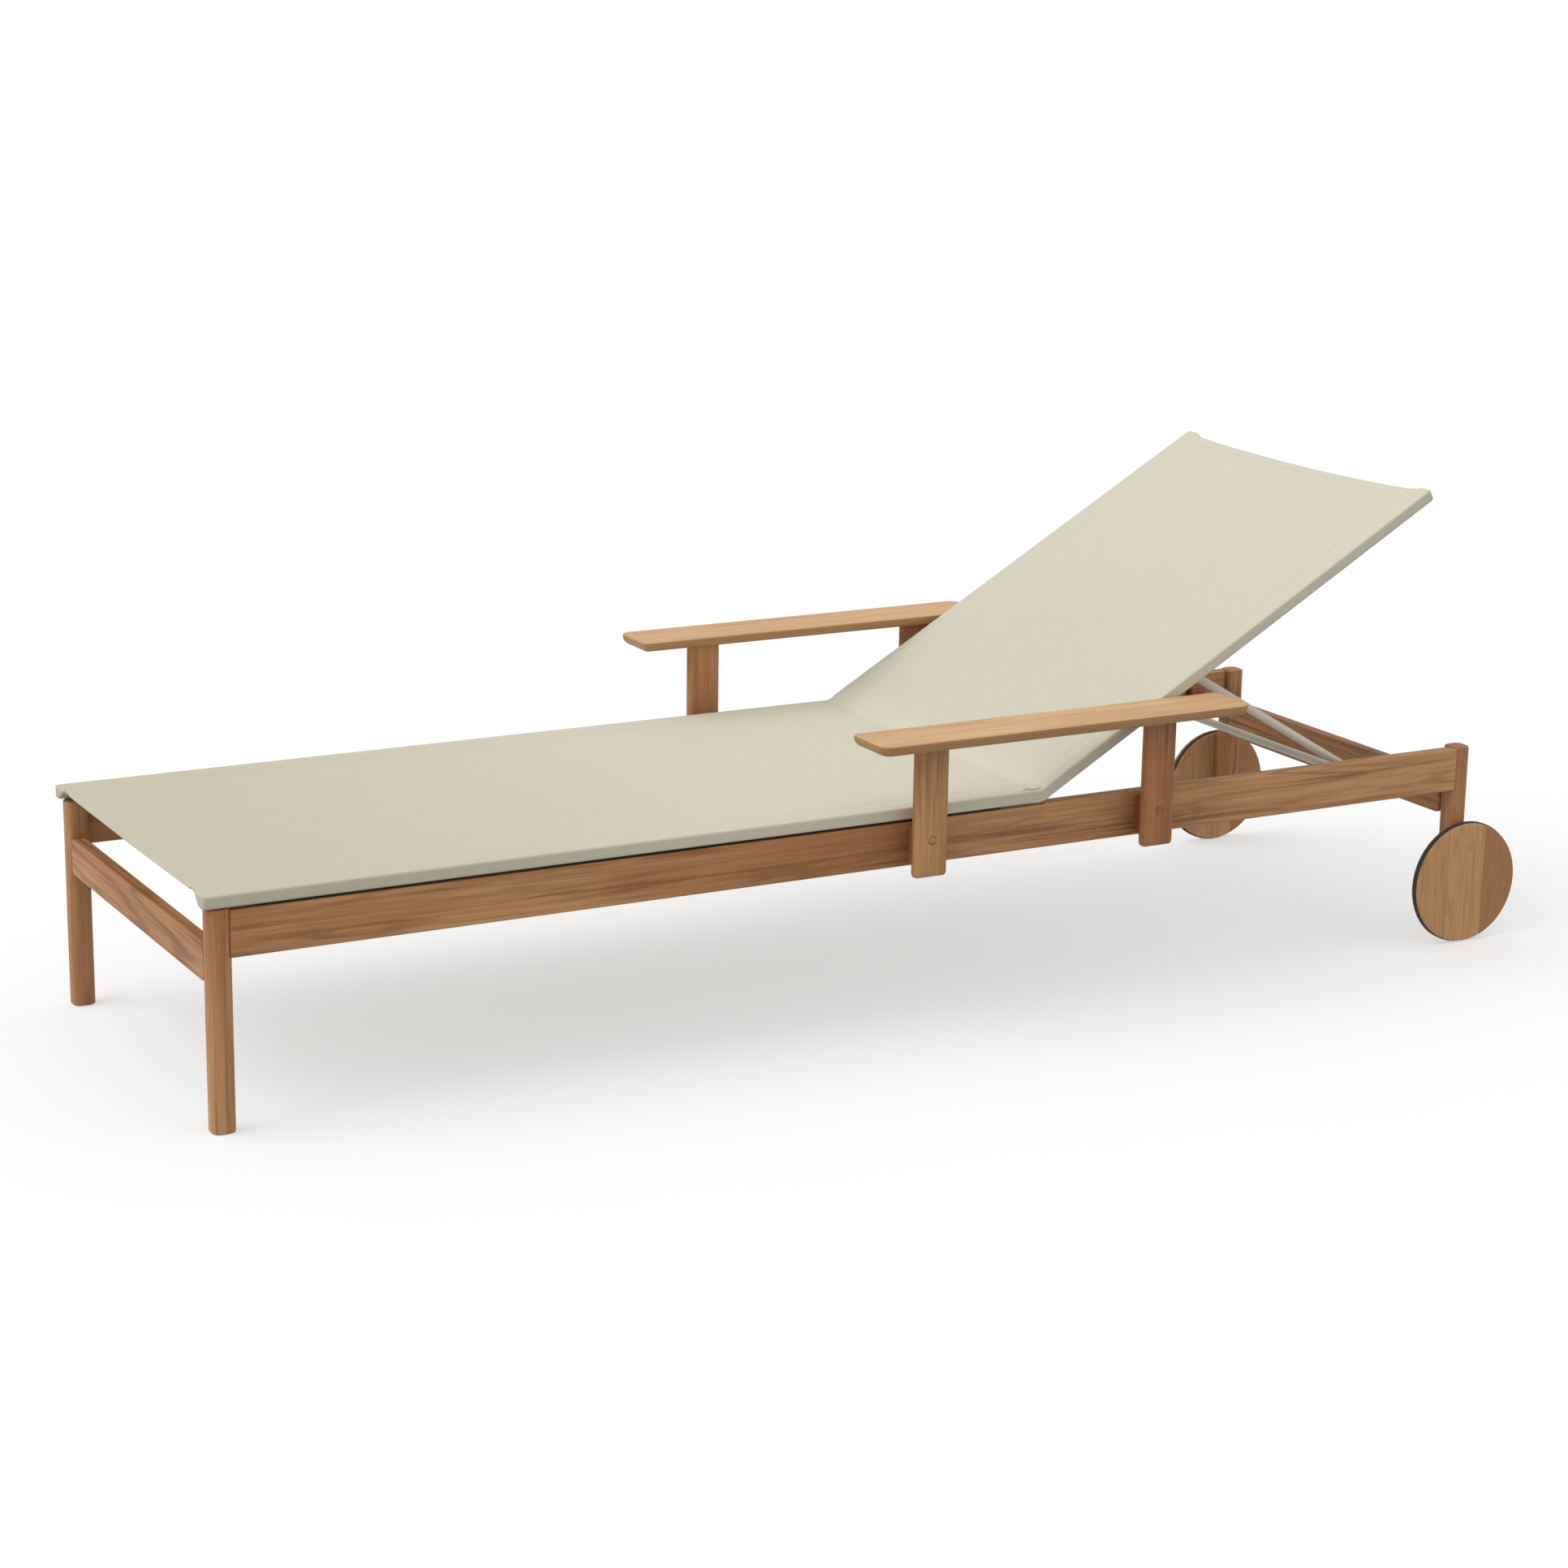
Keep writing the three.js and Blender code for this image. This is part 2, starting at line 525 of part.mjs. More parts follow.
function addRack(side, y) {
  const topZ = 271;
  const bottomZ = 228;
  const corner = 9;
  const notchRadius = BAIL_ROD_RADIUS + 1.2;
  const frontX = barCentre(BACK_STEEPEST)[0] - 26;
  const rearX = FOOT_LEG_X + 1828;
  const outline = new THREE.Shape();
  outline.moveTo(rearX, bottomZ);
  outline.lineTo(rearX, topZ - corner);
  outline.absarc(rearX - corner, topZ - corner, corner, 0, QUARTER_TURN);
  NOTCH_ANGLES.forEach((angle) => {
    const [x, z] = barCentre(angle);
    outline.lineTo(x + notchRadius, topZ);
    outline.lineTo(x + notchRadius, z);
    outline.absarc(x, z, notchRadius, 0, -HALF_TURN, true);
    outline.lineTo(x - notchRadius, topZ);
  });
  outline.lineTo(frontX + corner, topZ);
  outline.absarc(frontX + corner, topZ - corner, corner, QUARTER_TURN, HALF_TURN);
  outline.lineTo(frontX, bottomZ);
  const fromY = BAIL_BAR_HALF + 0.6;
  const thick = RAIL_INNER_Y - GAP - fromY;
  const rack = new THREE.ExtrudeGeometry(outline, { depth: thick, bevelEnabled: false, curveSegments: 5 });
  rack.translate(0, 0, -thick / 2);
  rack.rotateX(QUARTER_TURN);
  addPiece(`rack_${side}`, rack, teak()).position.set(0, y * (fromY + thick / 2), 0);
}

// ---- wheels -------------------------------------------------------------------------------------
const WHEEL_INNER_Y = 305;
const WHEEL_THICK = 15;
const BUSH_RADIUS = 10.5;
const BUSH_LENGTH = 10;
const WHEEL_STEPS = 48;

// Turned about Y from its inner face, then faced outwards on either side.
function placeTurned(name, profile, material, side, y, fromY, segments) {
  const geometry = turnedOnY(profile, segments);
  if (y < 0) {
    geometry.rotateX(HALF_TURN);
  }
  addPiece(`${name}_${side}`, geometry, material).position.set(AXLE_X, y * fromY, WHEEL_RADIUS);
}

function addWheel(side, y) {
  const woodRadius = WHEEL_RADIUS - 1.5;
  const edge = 1.5;
  const innerLip = 2;
  const lipRadius = WHEEL_RADIUS - 2;
  const tyreFrom = innerLip + GAP;
  const tyreTo = tyreFrom + 8;
  const grooveRadius = WHEEL_RADIUS - 8;
  const boreDepth = BUSH_LENGTH + 2 * GAP;
  placeTurned('wheel_disc', [
    [0, boreDepth],
    [BUSH_RADIUS + GAP, boreDepth],
    [BUSH_RADIUS + GAP, 0],
    [lipRadius - 0.6, 0],
    [lipRadius, 0.6],
    [lipRadius, innerLip],
    [grooveRadius, innerLip],
    [grooveRadius, tyreTo + GAP],
    [woodRadius, tyreTo + GAP],
    [woodRadius, WHEEL_THICK - 2 * edge],
    [woodRadius - 0.3 * edge, WHEEL_THICK - 0.3 * edge],
    [woodRadius - 2 * edge, WHEEL_THICK],
    [0, WHEEL_THICK],
  ], teak(), side, y, WHEEL_INNER_Y, WHEEL_STEPS);
  placeTurned('tyre', [
    [grooveRadius + GAP, tyreFrom],
    [WHEEL_RADIUS - edge, tyreFrom],
    [WHEEL_RADIUS, tyreFrom + edge],
    [WHEEL_RADIUS, tyreTo - edge],
    [WHEEL_RADIUS - edge, tyreTo],
    [grooveRadius + GAP, tyreTo],
    [grooveRadius + GAP, tyreFrom],
  ], tyreRubber(), side, y, WHEEL_INNER_Y, WHEEL_STEPS);
  placeTurned('wheel_bush', [
    [AXLE_RADIUS + GAP, 0],
    [BUSH_RADIUS, 0],
    [BUSH_RADIUS, BUSH_LENGTH],
    [AXLE_RADIUS + GAP, BUSH_LENGTH],
    [AXLE_RADIUS + GAP, 0],
  ], darkPlastic(), side, y, WHEEL_INNER_Y, 20);
}

// Stub axle with its head inside the leg, and the washer that keeps the wheel off the leg.
function addAxle(side, y) {
  const headThick = 5;
  const headRadius = 10;
  const headY = LEG_INNER_Y - GAP - headThick;
  const shankEnd = WHEEL_INNER_Y + BUSH_LENGTH - 1 - headY;
  placeTurned('stub_axle', [
    [0, 0],
    [headRadius - 1, 0],
    [headRadius, 1],
    [headRadius, headThick],
    [AXLE_RADIUS, headThick],
    [AXLE_RADIUS, shankEnd - 1],
    [AXLE_RADIUS - 1, shankEnd],
    [0, shankEnd],
  ], steel(), side, y, headY, 20);
  const washerFrom = FRAME_OUTER_Y + GAP;
  const washerThick = WHEEL_INNER_Y - washerFrom - GAP;
  placeTurned('wheel_washer', [
    [AXLE_RADIUS + GAP, 0],
    [12, 0],
    [12, washerThick],
    [AXLE_RADIUS + GAP, washerThick],
    [AXLE_RADIUS + GAP, 0],
  ], darkPlastic(), side, y, washerFrom, 20);
}

// ---- assembly -----------------------------------------------------------------------------------
addCrossRails();
for (const [side, y] of Object.entries(SIDES)) {
  addLegs(side, y);
  addSideRail(side, y);
  addArmrest(side, y);
  addArmPosts(side, y);
  addSideTubes(side, y);
  addHinge(side, y);
  addSeatRest(side, y);
  addBailBracket(side, y);
  addBailArm(side, y);
  addRack(side, y);
  addWheel(side, y);
  addAxle(side, y);
}
addCrossTube('seat_cross_tube_foot', FOOT_LEG_X + 45 - HINGE_X, seatFrame);
addCrossTube('seat_cross_tube_head', -60, seatFrame);
addCrossTube('back_cross_tube_lower', 60, backFrame);
addCrossTube('back_cross_tube_upper', BACK_LENGTH - 60, backFrame);
addSling();
addBailBar();

export default lounger;
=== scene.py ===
"""Looks of the reclining sun lounger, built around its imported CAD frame. Lengths are in metres."""
import math
import json

import bmesh
import bpy
from mathutils import Matrix, Vector, noise


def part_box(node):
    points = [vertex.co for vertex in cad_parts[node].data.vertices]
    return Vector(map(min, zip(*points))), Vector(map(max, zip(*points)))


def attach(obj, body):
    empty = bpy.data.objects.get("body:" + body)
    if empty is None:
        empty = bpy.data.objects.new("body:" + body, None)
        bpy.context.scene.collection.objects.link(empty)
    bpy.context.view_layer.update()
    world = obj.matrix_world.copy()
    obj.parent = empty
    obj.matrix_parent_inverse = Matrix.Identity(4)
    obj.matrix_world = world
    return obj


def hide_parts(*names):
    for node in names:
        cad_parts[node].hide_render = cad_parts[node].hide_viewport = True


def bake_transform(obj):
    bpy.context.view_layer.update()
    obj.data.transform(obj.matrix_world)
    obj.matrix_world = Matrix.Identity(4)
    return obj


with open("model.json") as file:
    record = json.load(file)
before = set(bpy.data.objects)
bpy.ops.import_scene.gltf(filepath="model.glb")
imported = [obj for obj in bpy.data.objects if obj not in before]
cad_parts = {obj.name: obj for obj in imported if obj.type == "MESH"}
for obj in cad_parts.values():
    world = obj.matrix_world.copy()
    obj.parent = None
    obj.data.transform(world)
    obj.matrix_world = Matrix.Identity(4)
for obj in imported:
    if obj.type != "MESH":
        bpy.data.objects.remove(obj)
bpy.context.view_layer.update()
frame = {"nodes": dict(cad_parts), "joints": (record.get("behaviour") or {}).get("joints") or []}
nodes = frame["nodes"]
scene = bpy.context.scene

# ---- camera -------------------------------------------------------------------------------------
CAMERA_AT = Vector((-2.3013, -4.1062, 1.4858))
CAMERA_AZIMUTH = math.radians(-28.72)
CAMERA_ELEVATION = math.radians(14.55)
CAMERA_ROLL = math.radians(0.88)
CAMERA_LENS = 79.43


def make_camera():
    right = Vector((math.cos(CAMERA_AZIMUTH), math.sin(CAMERA_AZIMUTH), 0))
    back = Vector((
        math.sin(CAMERA_AZIMUTH) * math.cos(CAMERA_ELEVATION),
        -math.cos(CAMERA_AZIMUTH) * math.cos(CAMERA_ELEVATION),
        math.sin(CAMERA_ELEVATION),
    ))
    up = back.cross(right)
    rolled_right = right * math.cos(CAMERA_ROLL) + up * math.sin(CAMERA_ROLL)
    rolled_up = up * math.cos(CAMERA_ROLL) - right * math.sin(CAMERA_ROLL)
    data = bpy.data.cameras.new("camera")
    data.lens = CAMERA_LENS
    data.sensor_width = 36
    data.clip_end = 500
    camera = bpy.data.objects.new("camera", data)
    camera.matrix_world = Matrix.Translation(CAMERA_AT) @ Matrix(
        (rolled_right, rolled_up, back)).transposed().to_4x4()
    scene.collection.objects.link(camera)
    scene.camera = camera


make_camera()


# ---- node helpers -------------------------------------------------------------------------------
class Tree:
    """A material's node tree, with short calls for the nodes used here."""

    def __init__(self, name):
        self.material = bpy.data.materials.new(name)
        self.material.use_nodes = True
        self.nodes = self.material.node_tree.nodes
        self.links = self.material.node_tree.links
        self.shader = self.nodes["Principled BSDF"]

    def feed(self, socket, value):
        if isinstance(value, bpy.types.NodeSocket):
            self.links.new(value, socket)
        elif value is not None:
            socket.default_value = value

    def add(self, kind, inputs, **settings):
        node = self.nodes.new(kind)
        for key, value in settings.items():
            setattr(node, key, value)
        for key, value in inputs.items():
            self.feed(node.inputs[key], value)
        return node.outputs[0]

    def mapping(self, vector, scale=(1, 1, 1), rotation=(0, 0, 0), location=(0, 0, 0)):
        return self.add("ShaderNodeMapping", {
            "Vector": vector, "Scale": scale, "Rotation": rotation, "Location": location})

    def noise(self, vector, scale=1.0, detail=2.0, roughness=0.5, distortion=0.0):
        return self.add("ShaderNodeTexNoise", {
            "Vector": vector, "Scale": scale, "Detail": detail, "Roughness": roughness,
            "Distortion": distortion})

    def math(self, operation, a, b=None, c=None):
        return self.add("ShaderNodeMath", {0: a, 1: b, 2: c}, operation=operation)

    def spread(self, value, low, high, to_low=0.0, to_high=1.0):
        return self.add("ShaderNodeMapRange", {
            "Value": value, "From Min": low, "From Max": high,
            "To Min": to_low, "To Max": to_high}, interpolation_type="SMOOTHSTEP")

    def mix(self, factor, a, b, blend="MIX"):
        node = self.nodes.new("ShaderNodeMix")
        node.data_type = "RGBA"
        node.blend_type = blend
        self.feed(node.inputs[0], factor)
        self.feed(node.inputs[6], a)
        self.feed(node.inputs[7], b)
        return node.outputs[2]

    def bump(self, height, strength, distance):
        return self.add("ShaderNodeBump", {
            "Height": height, "Strength": strength, "Distance": distance})


def srgb(code):
    """Linear colour, with alpha, of a six-digit sRGB code."""
    channels = [int(code[i:i + 2], 16) / 255 for i in (0, 2, 4)]
    return tuple(c / 12.92 if c <= 0.04045 else ((c + 0.055) / 1.055) ** 2.4
                 for c in channels) + (1.0,)


# ---- materials ----------------------------------------------------------------------------------
GRAIN_TURN = {"x": (0, 0, 0), "y": (0, 0, -math.pi / 2), "z": (0, math.pi / 2, 0)}


def teak(name, grain, seed, light, mid, dark, rough=0.52, figure=0.55, painted_side_shade=None):
    """Oiled teak whose grain runs along the axis `grain`; `seed` moves the figure.

    The side colour darkens the faces that don't look upwards, as painted shade on the sides and
    underside.
    """
    t = Tree(name)
    coords = t.nodes.new("ShaderNodeTexCoord").outputs["Object"]
    along = t.mapping(coords, rotation=GRAIN_TURN[grain])
    place = t.mapping(along, location=(seed * 0.731, seed * 0.377, seed * 0.193))
    sweep = t.noise(t.mapping(place, scale=(1.1, 14, 14)), detail=1.0, distortion=0.6)
    waver = t.noise(t.mapping(place, scale=(7, 60, 60)), detail=2.0)
    wander = t.math("MULTIPLY_ADD", waver, 1.4, t.math("MULTIPLY", sweep, 12.0))
    lines = t.math("SINE", t.math("MULTIPLY", wander, 5.0))
    late_wood = t.math("POWER", t.spread(lines, -1.0, 1.0), 5.0)
    fade = t.noise(t.mapping(place, scale=(3.0, 20, 20)), detail=2.0)
    late_wood = t.math("MULTIPLY", late_wood, t.spread(fade, 0.35, 0.65, 0.15, 1.0))
    streaks = t.noise(t.mapping(place, scale=(2.6, 95, 95)),
                      detail=5.0, roughness=0.62, distortion=0.25)
    fine = t.noise(t.mapping(place, scale=(7, 260, 260)), detail=6.0, roughness=0.6)
    pores = t.noise(t.mapping(place, scale=(55, 1500, 1500)), detail=2.0)
    patches = t.noise(t.mapping(place, scale=(2.0, 9, 9)), detail=3.0)
    colour = t.mix(t.spread(patches, 0.32, 0.68), light, mid)
    colour = t.mix(t.math("MULTIPLY", late_wood, figure), colour, dark)
    colour = t.mix(t.spread(streaks, 0.54, 0.66, 0.0, figure), colour, dark)
    colour = t.mix(t.spread(fine, 0.35, 0.75, 0.0, 0.42), colour, dark)
    colour = t.mix(t.spread(pores, 0.62, 0.75, 0.0, 0.45), colour, dark)
    # painted shade: faces turned away from the sky are mixed towards the darker side colour
    if painted_side_shade:
        facing = t.nodes.new("ShaderNodeSeparateXYZ")
        t.links.new(t.nodes.new("ShaderNodeTexCoord").outputs["Normal"], facing.inputs[0])
        colour = t.mix(t.spread(facing.outputs[2], 0.55, 0.9, 0.75, 0.0), colour, painted_side_shade)
    t.feed(t.shader.inputs["Base Color"], colour)
    t.feed(t.shader.inputs["Roughness"], t.spread(fine, 0.3, 0.7, rough - 0.06, rough + 0.1))
    height = t.math("SUBTRACT", fine, t.math("MULTIPLY", pores, 0.4))
    t.feed(t.shader.inputs["Normal"], t.bump(height, 0.3, 0.0004))
    t.shader.inputs["Specular IOR Level"].default_value = 0.35
    return t.material


LIGHT, MID, DARK = srgb("cf9d6c"), srgb("b07a4c"), srgb("764527")
REAR_LIGHT, REAR_MID, REAR_DARK = srgb("b67c50"), srgb("9d6640"), srgb("6f4127")
# a darker copy of the frame teak: painted shade for the parts that lie in shadow
PAINTED_SHADE_LIGHT, PAINTED_SHADE_MID, PAINTED_SHADE_DARK = srgb("a8714a"), srgb("90593a"), srgb("653a22")
ARM_LIGHT, ARM_MID, ARM_DARK = srgb("ddb583"), srgb("cfa272"), srgb("aa7a4c")


def frame_teak(name, grain, seed):
    """Rails and posts; the upright ones show a calmer figure."""
    return teak(name, grain, seed, LIGHT, MID, DARK, figure=0.38 if grain == "z" else 0.5)


def painted_shade_teak(name, grain, seed):
    """A darker copy of the frame teak, as painted shade, for the spacers, the racks and the middle
    cross rail, which lie in shadow.
    """
    return teak(name, grain, seed, PAINTED_SHADE_LIGHT, PAINTED_SHADE_MID, PAINTED_SHADE_DARK)


def rear_teak(name, grain, seed):
    """The wood of the rear arm posts and their plugs, a tone darker than in front."""
    return teak(name, grain, seed, REAR_LIGHT, REAR_MID, REAR_DARK)


def arm_teak(name, grain, seed):
    """The armrest boards in a lighter teak, with painted shade on the faces that don't look upwards.
    """
    return teak(name, grain, seed, ARM_LIGHT, ARM_MID, ARM_DARK,
                rough=0.46, figure=0.3, painted_side_shade=srgb("a07348"))


def powder_coat(name):
    t = Tree(name)
    coords = t.nodes.new("ShaderNodeTexCoord").outputs["Object"]
    peel = t.noise(coords, scale=900.0, detail=2.0)
    tone = t.noise(coords, scale=14.0, detail=3.0)
    t.feed(t.shader.inputs["Base Color"], t.mix(tone, srgb("dcd6c6"), srgb("cdc7b6")))
    t.feed(t.shader.inputs["Roughness"], t.spread(tone, 0.3, 0.7, 0.36, 0.48))
    t.feed(t.shader.inputs["Normal"], t.bump(peel, 0.25, 0.0001))
    return t.material


def dark_plastic(name):
    t = Tree(name)
    coords = t.nodes.new("ShaderNodeTexCoord").outputs["Object"]
    pebble = t.noise(coords, scale=1400.0, detail=1.0)
    tone = t.noise(coords, scale=30.0, detail=3.0)
    t.feed(t.shader.inputs["Base Color"], t.mix(tone, srgb("2f2d2b"), srgb("232221")))
    t.feed(t.shader.inputs["Roughness"], t.spread(tone, 0.3, 0.7, 0.5, 0.62))
    t.feed(t.shader.inputs["Normal"], t.bump(pebble, 0.3, 0.0001))
    return t.material


def tyre_rubber(name):
    t = Tree(name)
    coords = t.nodes.new("ShaderNodeTexCoord").outputs["Object"]
    grit = t.noise(coords, scale=700.0, detail=3.0)
    dust = t.noise(coords, scale=22.0, detail=4.0)
    t.feed(t.shader.inputs["Base Color"], t.mix(dust, srgb("2a2a2b"), srgb("3a3937")))
    t.feed(t.shader.inputs["Roughness"], t.spread(dust, 0.3, 0.7, 0.68, 0.85))
    t.feed(t.shader.inputs["Normal"], t.bump(grit, 0.4, 0.0002))
    return t.material


def brushed_steel(name):
    t = Tree(name)
    coords = t.nodes.new("ShaderNodeTexCoord").outputs["Object"]
    brush = t.noise(t.mapping(coords, scale=(40, 1800, 1800)), detail=3.0)
    t.feed(t.shader.inputs["Base Color"], t.mix(brush, srgb("b9b9ba"), srgb("9fa0a2")))
    t.feed(t.shader.inputs["Roughness"], t.spread(brush, 0.3, 0.7, 0.26, 0.42))
    t.feed(t.shader.inputs["Normal"], t.bump(brush, 0.15, 0.0001))
    t.shader.inputs["Metallic"].default_value = 1.0
    return t.material


YARN_PITCH = 0.0013
# tints of the cloth along its length; the darker foot end tint is painted shade
FOOT_SHADE_TINT = (0.835, 0.823, 0.795, 1.0)
SEAT_TINT = (0.985, 1.0, 1.0, 1.0)
LUMBAR_TINT = (0.900, 0.905, 0.928, 1.0)
HEAD_TINT = (0.945, 0.958, 0.990, 1.0)


def sling_cloth(name):
    """Woven cloth; its UV map holds the flat cloth's own lengths in metres."""
    t = Tree(name)
    flat = t.nodes.new("ShaderNodeUVMap")
    flat.uv_map = "cloth"
    split = t.nodes.new("ShaderNodeSeparateXYZ")
    t.links.new(flat.outputs[0], split.inputs[0])
    turn = math.pi / YARN_PITCH
    warp = t.math("SINE", t.math("MULTIPLY", split.outputs[0], turn))
    weft = t.math("SINE", t.math("MULTIPLY", split.outputs[1], turn))
    over = t.math("MULTIPLY", warp, weft)
    yarn = t.math("MULTIPLY_ADD", over, 0.5, 0.5)
    slub = t.noise(t.mapping(flat.outputs[0], scale=(30, 900, 1)), detail=2.0)
    cross_slub = t.noise(t.mapping(flat.outputs[0], scale=(900, 30, 1)), detail=2.0)
    cloud = t.noise(t.mapping(flat.outputs[0], scale=(5, 5, 1)), detail=3.0)
    colour = t.mix(yarn, srgb("cfc8b1"), srgb("ddd7c3"))
    colour = t.mix(t.spread(slub, 0.45, 0.8, 0.0, 0.35), colour, srgb("c4bca6"))
    colour = t.mix(t.spread(cross_slub, 0.45, 0.8, 0.0, 0.35), colour, srgb("e7e2cf"))
    colour = t.mix(t.spread(cloud, 0.3, 0.7, 0.0, 0.3), colour, srgb("d3ceb9"))
    place = split.outputs[1]  # metres from the hinge: painted shade darkens the seat towards its foot end
    # painted shade: the cloth's colour is darkened towards the seat's foot end
    tints_and_painted_shade = t.mix(t.spread(place, -1.15, -0.04), FOOT_SHADE_TINT, SEAT_TINT)
    tints_and_painted_shade = t.mix(t.spread(place, -0.03, 0.07), tints_and_painted_shade, LUMBAR_TINT)
    tints_and_painted_shade = t.mix(t.spread(place, 0.10, 0.75), tints_and_painted_shade, HEAD_TINT)
    colour = t.mix(1.0, colour, tints_and_painted_shade, blend="MULTIPLY")
    t.feed(t.shader.inputs["Base Color"], colour)
    t.feed(t.shader.inputs["Roughness"], t.spread(yarn, 0.0, 1.0, 0.78, 0.68))
    t.feed(t.shader.inputs["Normal"], t.bump(yarn, 0.35, 0.00025))
    t.shader.inputs["Sheen Weight"].default_value = 0.12
    t.shader.inputs["Specular IOR Level"].default_value = 0.25
    return t.material


def sewing_thread(name):
    t = Tree(name)
    coords = t.nodes.new("ShaderNodeTexCoord").outputs["Object"]
    twist = t.noise(coords, scale=2500.0, detail=1.0)
    t.feed(t.shader.inputs["Base Color"], t.mix(twist, srgb("cfc8b2"), srgb("bdb59c")))
    t.feed(t.shader.inputs["Roughness"], t.spread(twist, 0.3, 0.7, 0.6, 0.75))
    t.feed(t.shader.inputs["Normal"], t.bump(twist, 0.4, 0.0001))
    return t.material


WHEEL_X = (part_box("tyre_left")[0].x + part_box("tyre_left")[1].x) / 2
HEAD_SEAM = 0.031  # glued joints between the wheel's boards, from its axle
FOOT_SEAM = -0.036
SEAM_HALF = 0.0006


def wheel_teak(name, seed):
    """Upright boards glued edge to edge; the board towards the head end is darker."""
    t = Tree(name)
    coords = t.nodes.new("ShaderNodeTexCoord").outputs["Object"]
    split = t.nodes.new("ShaderNodeSeparateXYZ")
    t.links.new(coords, split.inputs[0])
    across = t.math("SUBTRACT", split.outputs[0], WHEEL_X)
    head_board = t.math("GREATER_THAN", across, HEAD_SEAM)
    foot_board = t.math("LESS_THAN", across, FOOT_SEAM)
    shift = t.math("MULTIPLY_ADD", head_board, 0.35, t.math("MULTIPLY", foot_board, 0.8))
    moved = t.add("ShaderNodeCombineXYZ", {0: shift, 1: seed * 0.37, 2: shift})
    place = t.add("ShaderNodeVectorMath", {0: coords, 1: moved}, operation="ADD")
    rings = t.noise(t.mapping(place, scale=(55, 3, 2.2)), detail=1.5, distortion=0.5)
    lines = t.math("SINE", t.math("MULTIPLY", rings, 60.0))
    fine = t.noise(t.mapping(place, scale=(480, 30, 14)), detail=4.0, roughness=0.6)
    pores = t.noise(t.mapping(place, scale=(1500, 60, 60)), detail=2.0)
    board = t.mix(head_board, srgb("cf9e6c"), srgb("ae7c52"))
    board = t.mix(t.math("MULTIPLY", foot_board, 0.35), board, srgb("c08d5c"))
    colour = t.mix(t.spread(lines, 0.2, 1.0, 0.0, 0.3), board, srgb("966540"))
    colour = t.mix(t.spread(fine, 0.4, 0.75, 0.0, 0.4), colour, srgb("8d5c38"))
    colour = t.mix(t.spread(pores, 0.62, 0.75, 0.0, 0.5), colour, srgb("7d4f30"))
    seam = 0.0
    for edge in (HEAD_SEAM, FOOT_SEAM):
        near = t.math("ABSOLUTE", t.math("SUBTRACT", across, edge))
        seam = t.math("ADD", seam, t.spread(near, 0.0, SEAM_HALF, 1.0, 0.0))
    colour = t.mix(t.math("MULTIPLY", seam, 0.6), colour, srgb("6b4226"))
    t.feed(t.shader.inputs["Base Color"], colour)
    t.feed(t.shader.inputs["Roughness"], t.spread(fine, 0.3, 0.7, 0.46, 0.6))
    height = t.math("SUBTRACT", fine, t.math("ADD", seam, t.math("MULTIPLY", pores, 0.4)))
    t.feed(t.shader.inputs["Normal"], t.bump(height, 0.35, 0.0004))
    t.shader.inputs["Specular IOR Level"].default_value = 0.35
    return t.material


# ---- finishes of the CAD nodes ------------------------------------------------------------------
SHARP_FROM = math.radians(35)


def dress(node_name, material):
    """Gives a CAD node its finish and smooth shading between its sharp edges."""
    mesh = nodes[node_name].data
    mesh.materials.clear()
    mesh.materials.append(material)
    mesh.shade_smooth()
    mesh.set_sharp_from_angle(angle=SHARP_FROM)
    weighted = nodes[node_name].modifiers.new("weighted_normals", "WEIGHTED_NORMAL")
    weighted.mode = "FACE_AREA"
    weighted.weight = 50
    weighted.keep_sharp = True


WOOD = {
    "side_rail": ("x", frame_teak),
    "foot_leg": ("z", frame_teak),
    "rear_leg": ("z", frame_teak),
    "foot_cross_rail": ("y", frame_teak),
    "rear_cross_rail": ("y", frame_teak),
    "middle_cross_rail": ("y", painted_shade_teak),
    "armrest": ("x", arm_teak),
    "arm_post_front": ("z", frame_teak),
    "arm_post_rear": ("z", rear_teak),
    "arm_spacer": ("z", painted_shade_teak),
    "rack": ("x", painted_shade_teak),
}
METAL = ("bail_arm", "bail_cross", "seat_tube", "back_tube", "seat_cross", "back_cross")
PLASTIC = ("seat_end", "back_end", "seat_rest", "wheel_bush", "wheel_washer")

coat = powder_coat("cream_powder_coat")
plastic = dark_plastic("dark_plastic")
rubber = tyre_rubber("tyre_rubber")
steel = brushed_steel("brushed_steel")
cloth = sling_cloth("sling_cloth")
thread = sewing_thread("sewing_thread")
rear_plug_wood = rear_teak("teak_screw_plug_rear", "x", 62)
# dark teak for the ring round each plug: painted shadow of a groove between plug and post
plug_groove_shade = teak("teak_plug_rim", "x", 63, srgb("5a3620"), srgb("4d2d1a"), srgb("3a2012"))
plug_wood = teak("teak_screw_plug", "x", 61, srgb("d09c6c"), srgb("c18d5c"), srgb("9c6b42"))

for index, node_name in enumerate(sorted(nodes)):
    wood = [entry for start, entry in WOOD.items() if node_name.startswith(start)]
    if wood:
        grain, recipe = wood[0]
        dress(node_name, recipe(f"teak_{node_name}", grain, index + 1))
    elif node_name.startswith("wheel_disc"):
        dress(node_name, wheel_teak(f"teak_{node_name}", index + 1))
    elif node_name.startswith(METAL):
        dress(node_name, coat)
    elif node_name.startswith("tyre"):
        dress(node_name, rubber)
    elif node_name.startswith(PLASTIC):
        dress(node_name, plastic)
    else:
        dress(node_name, steel)


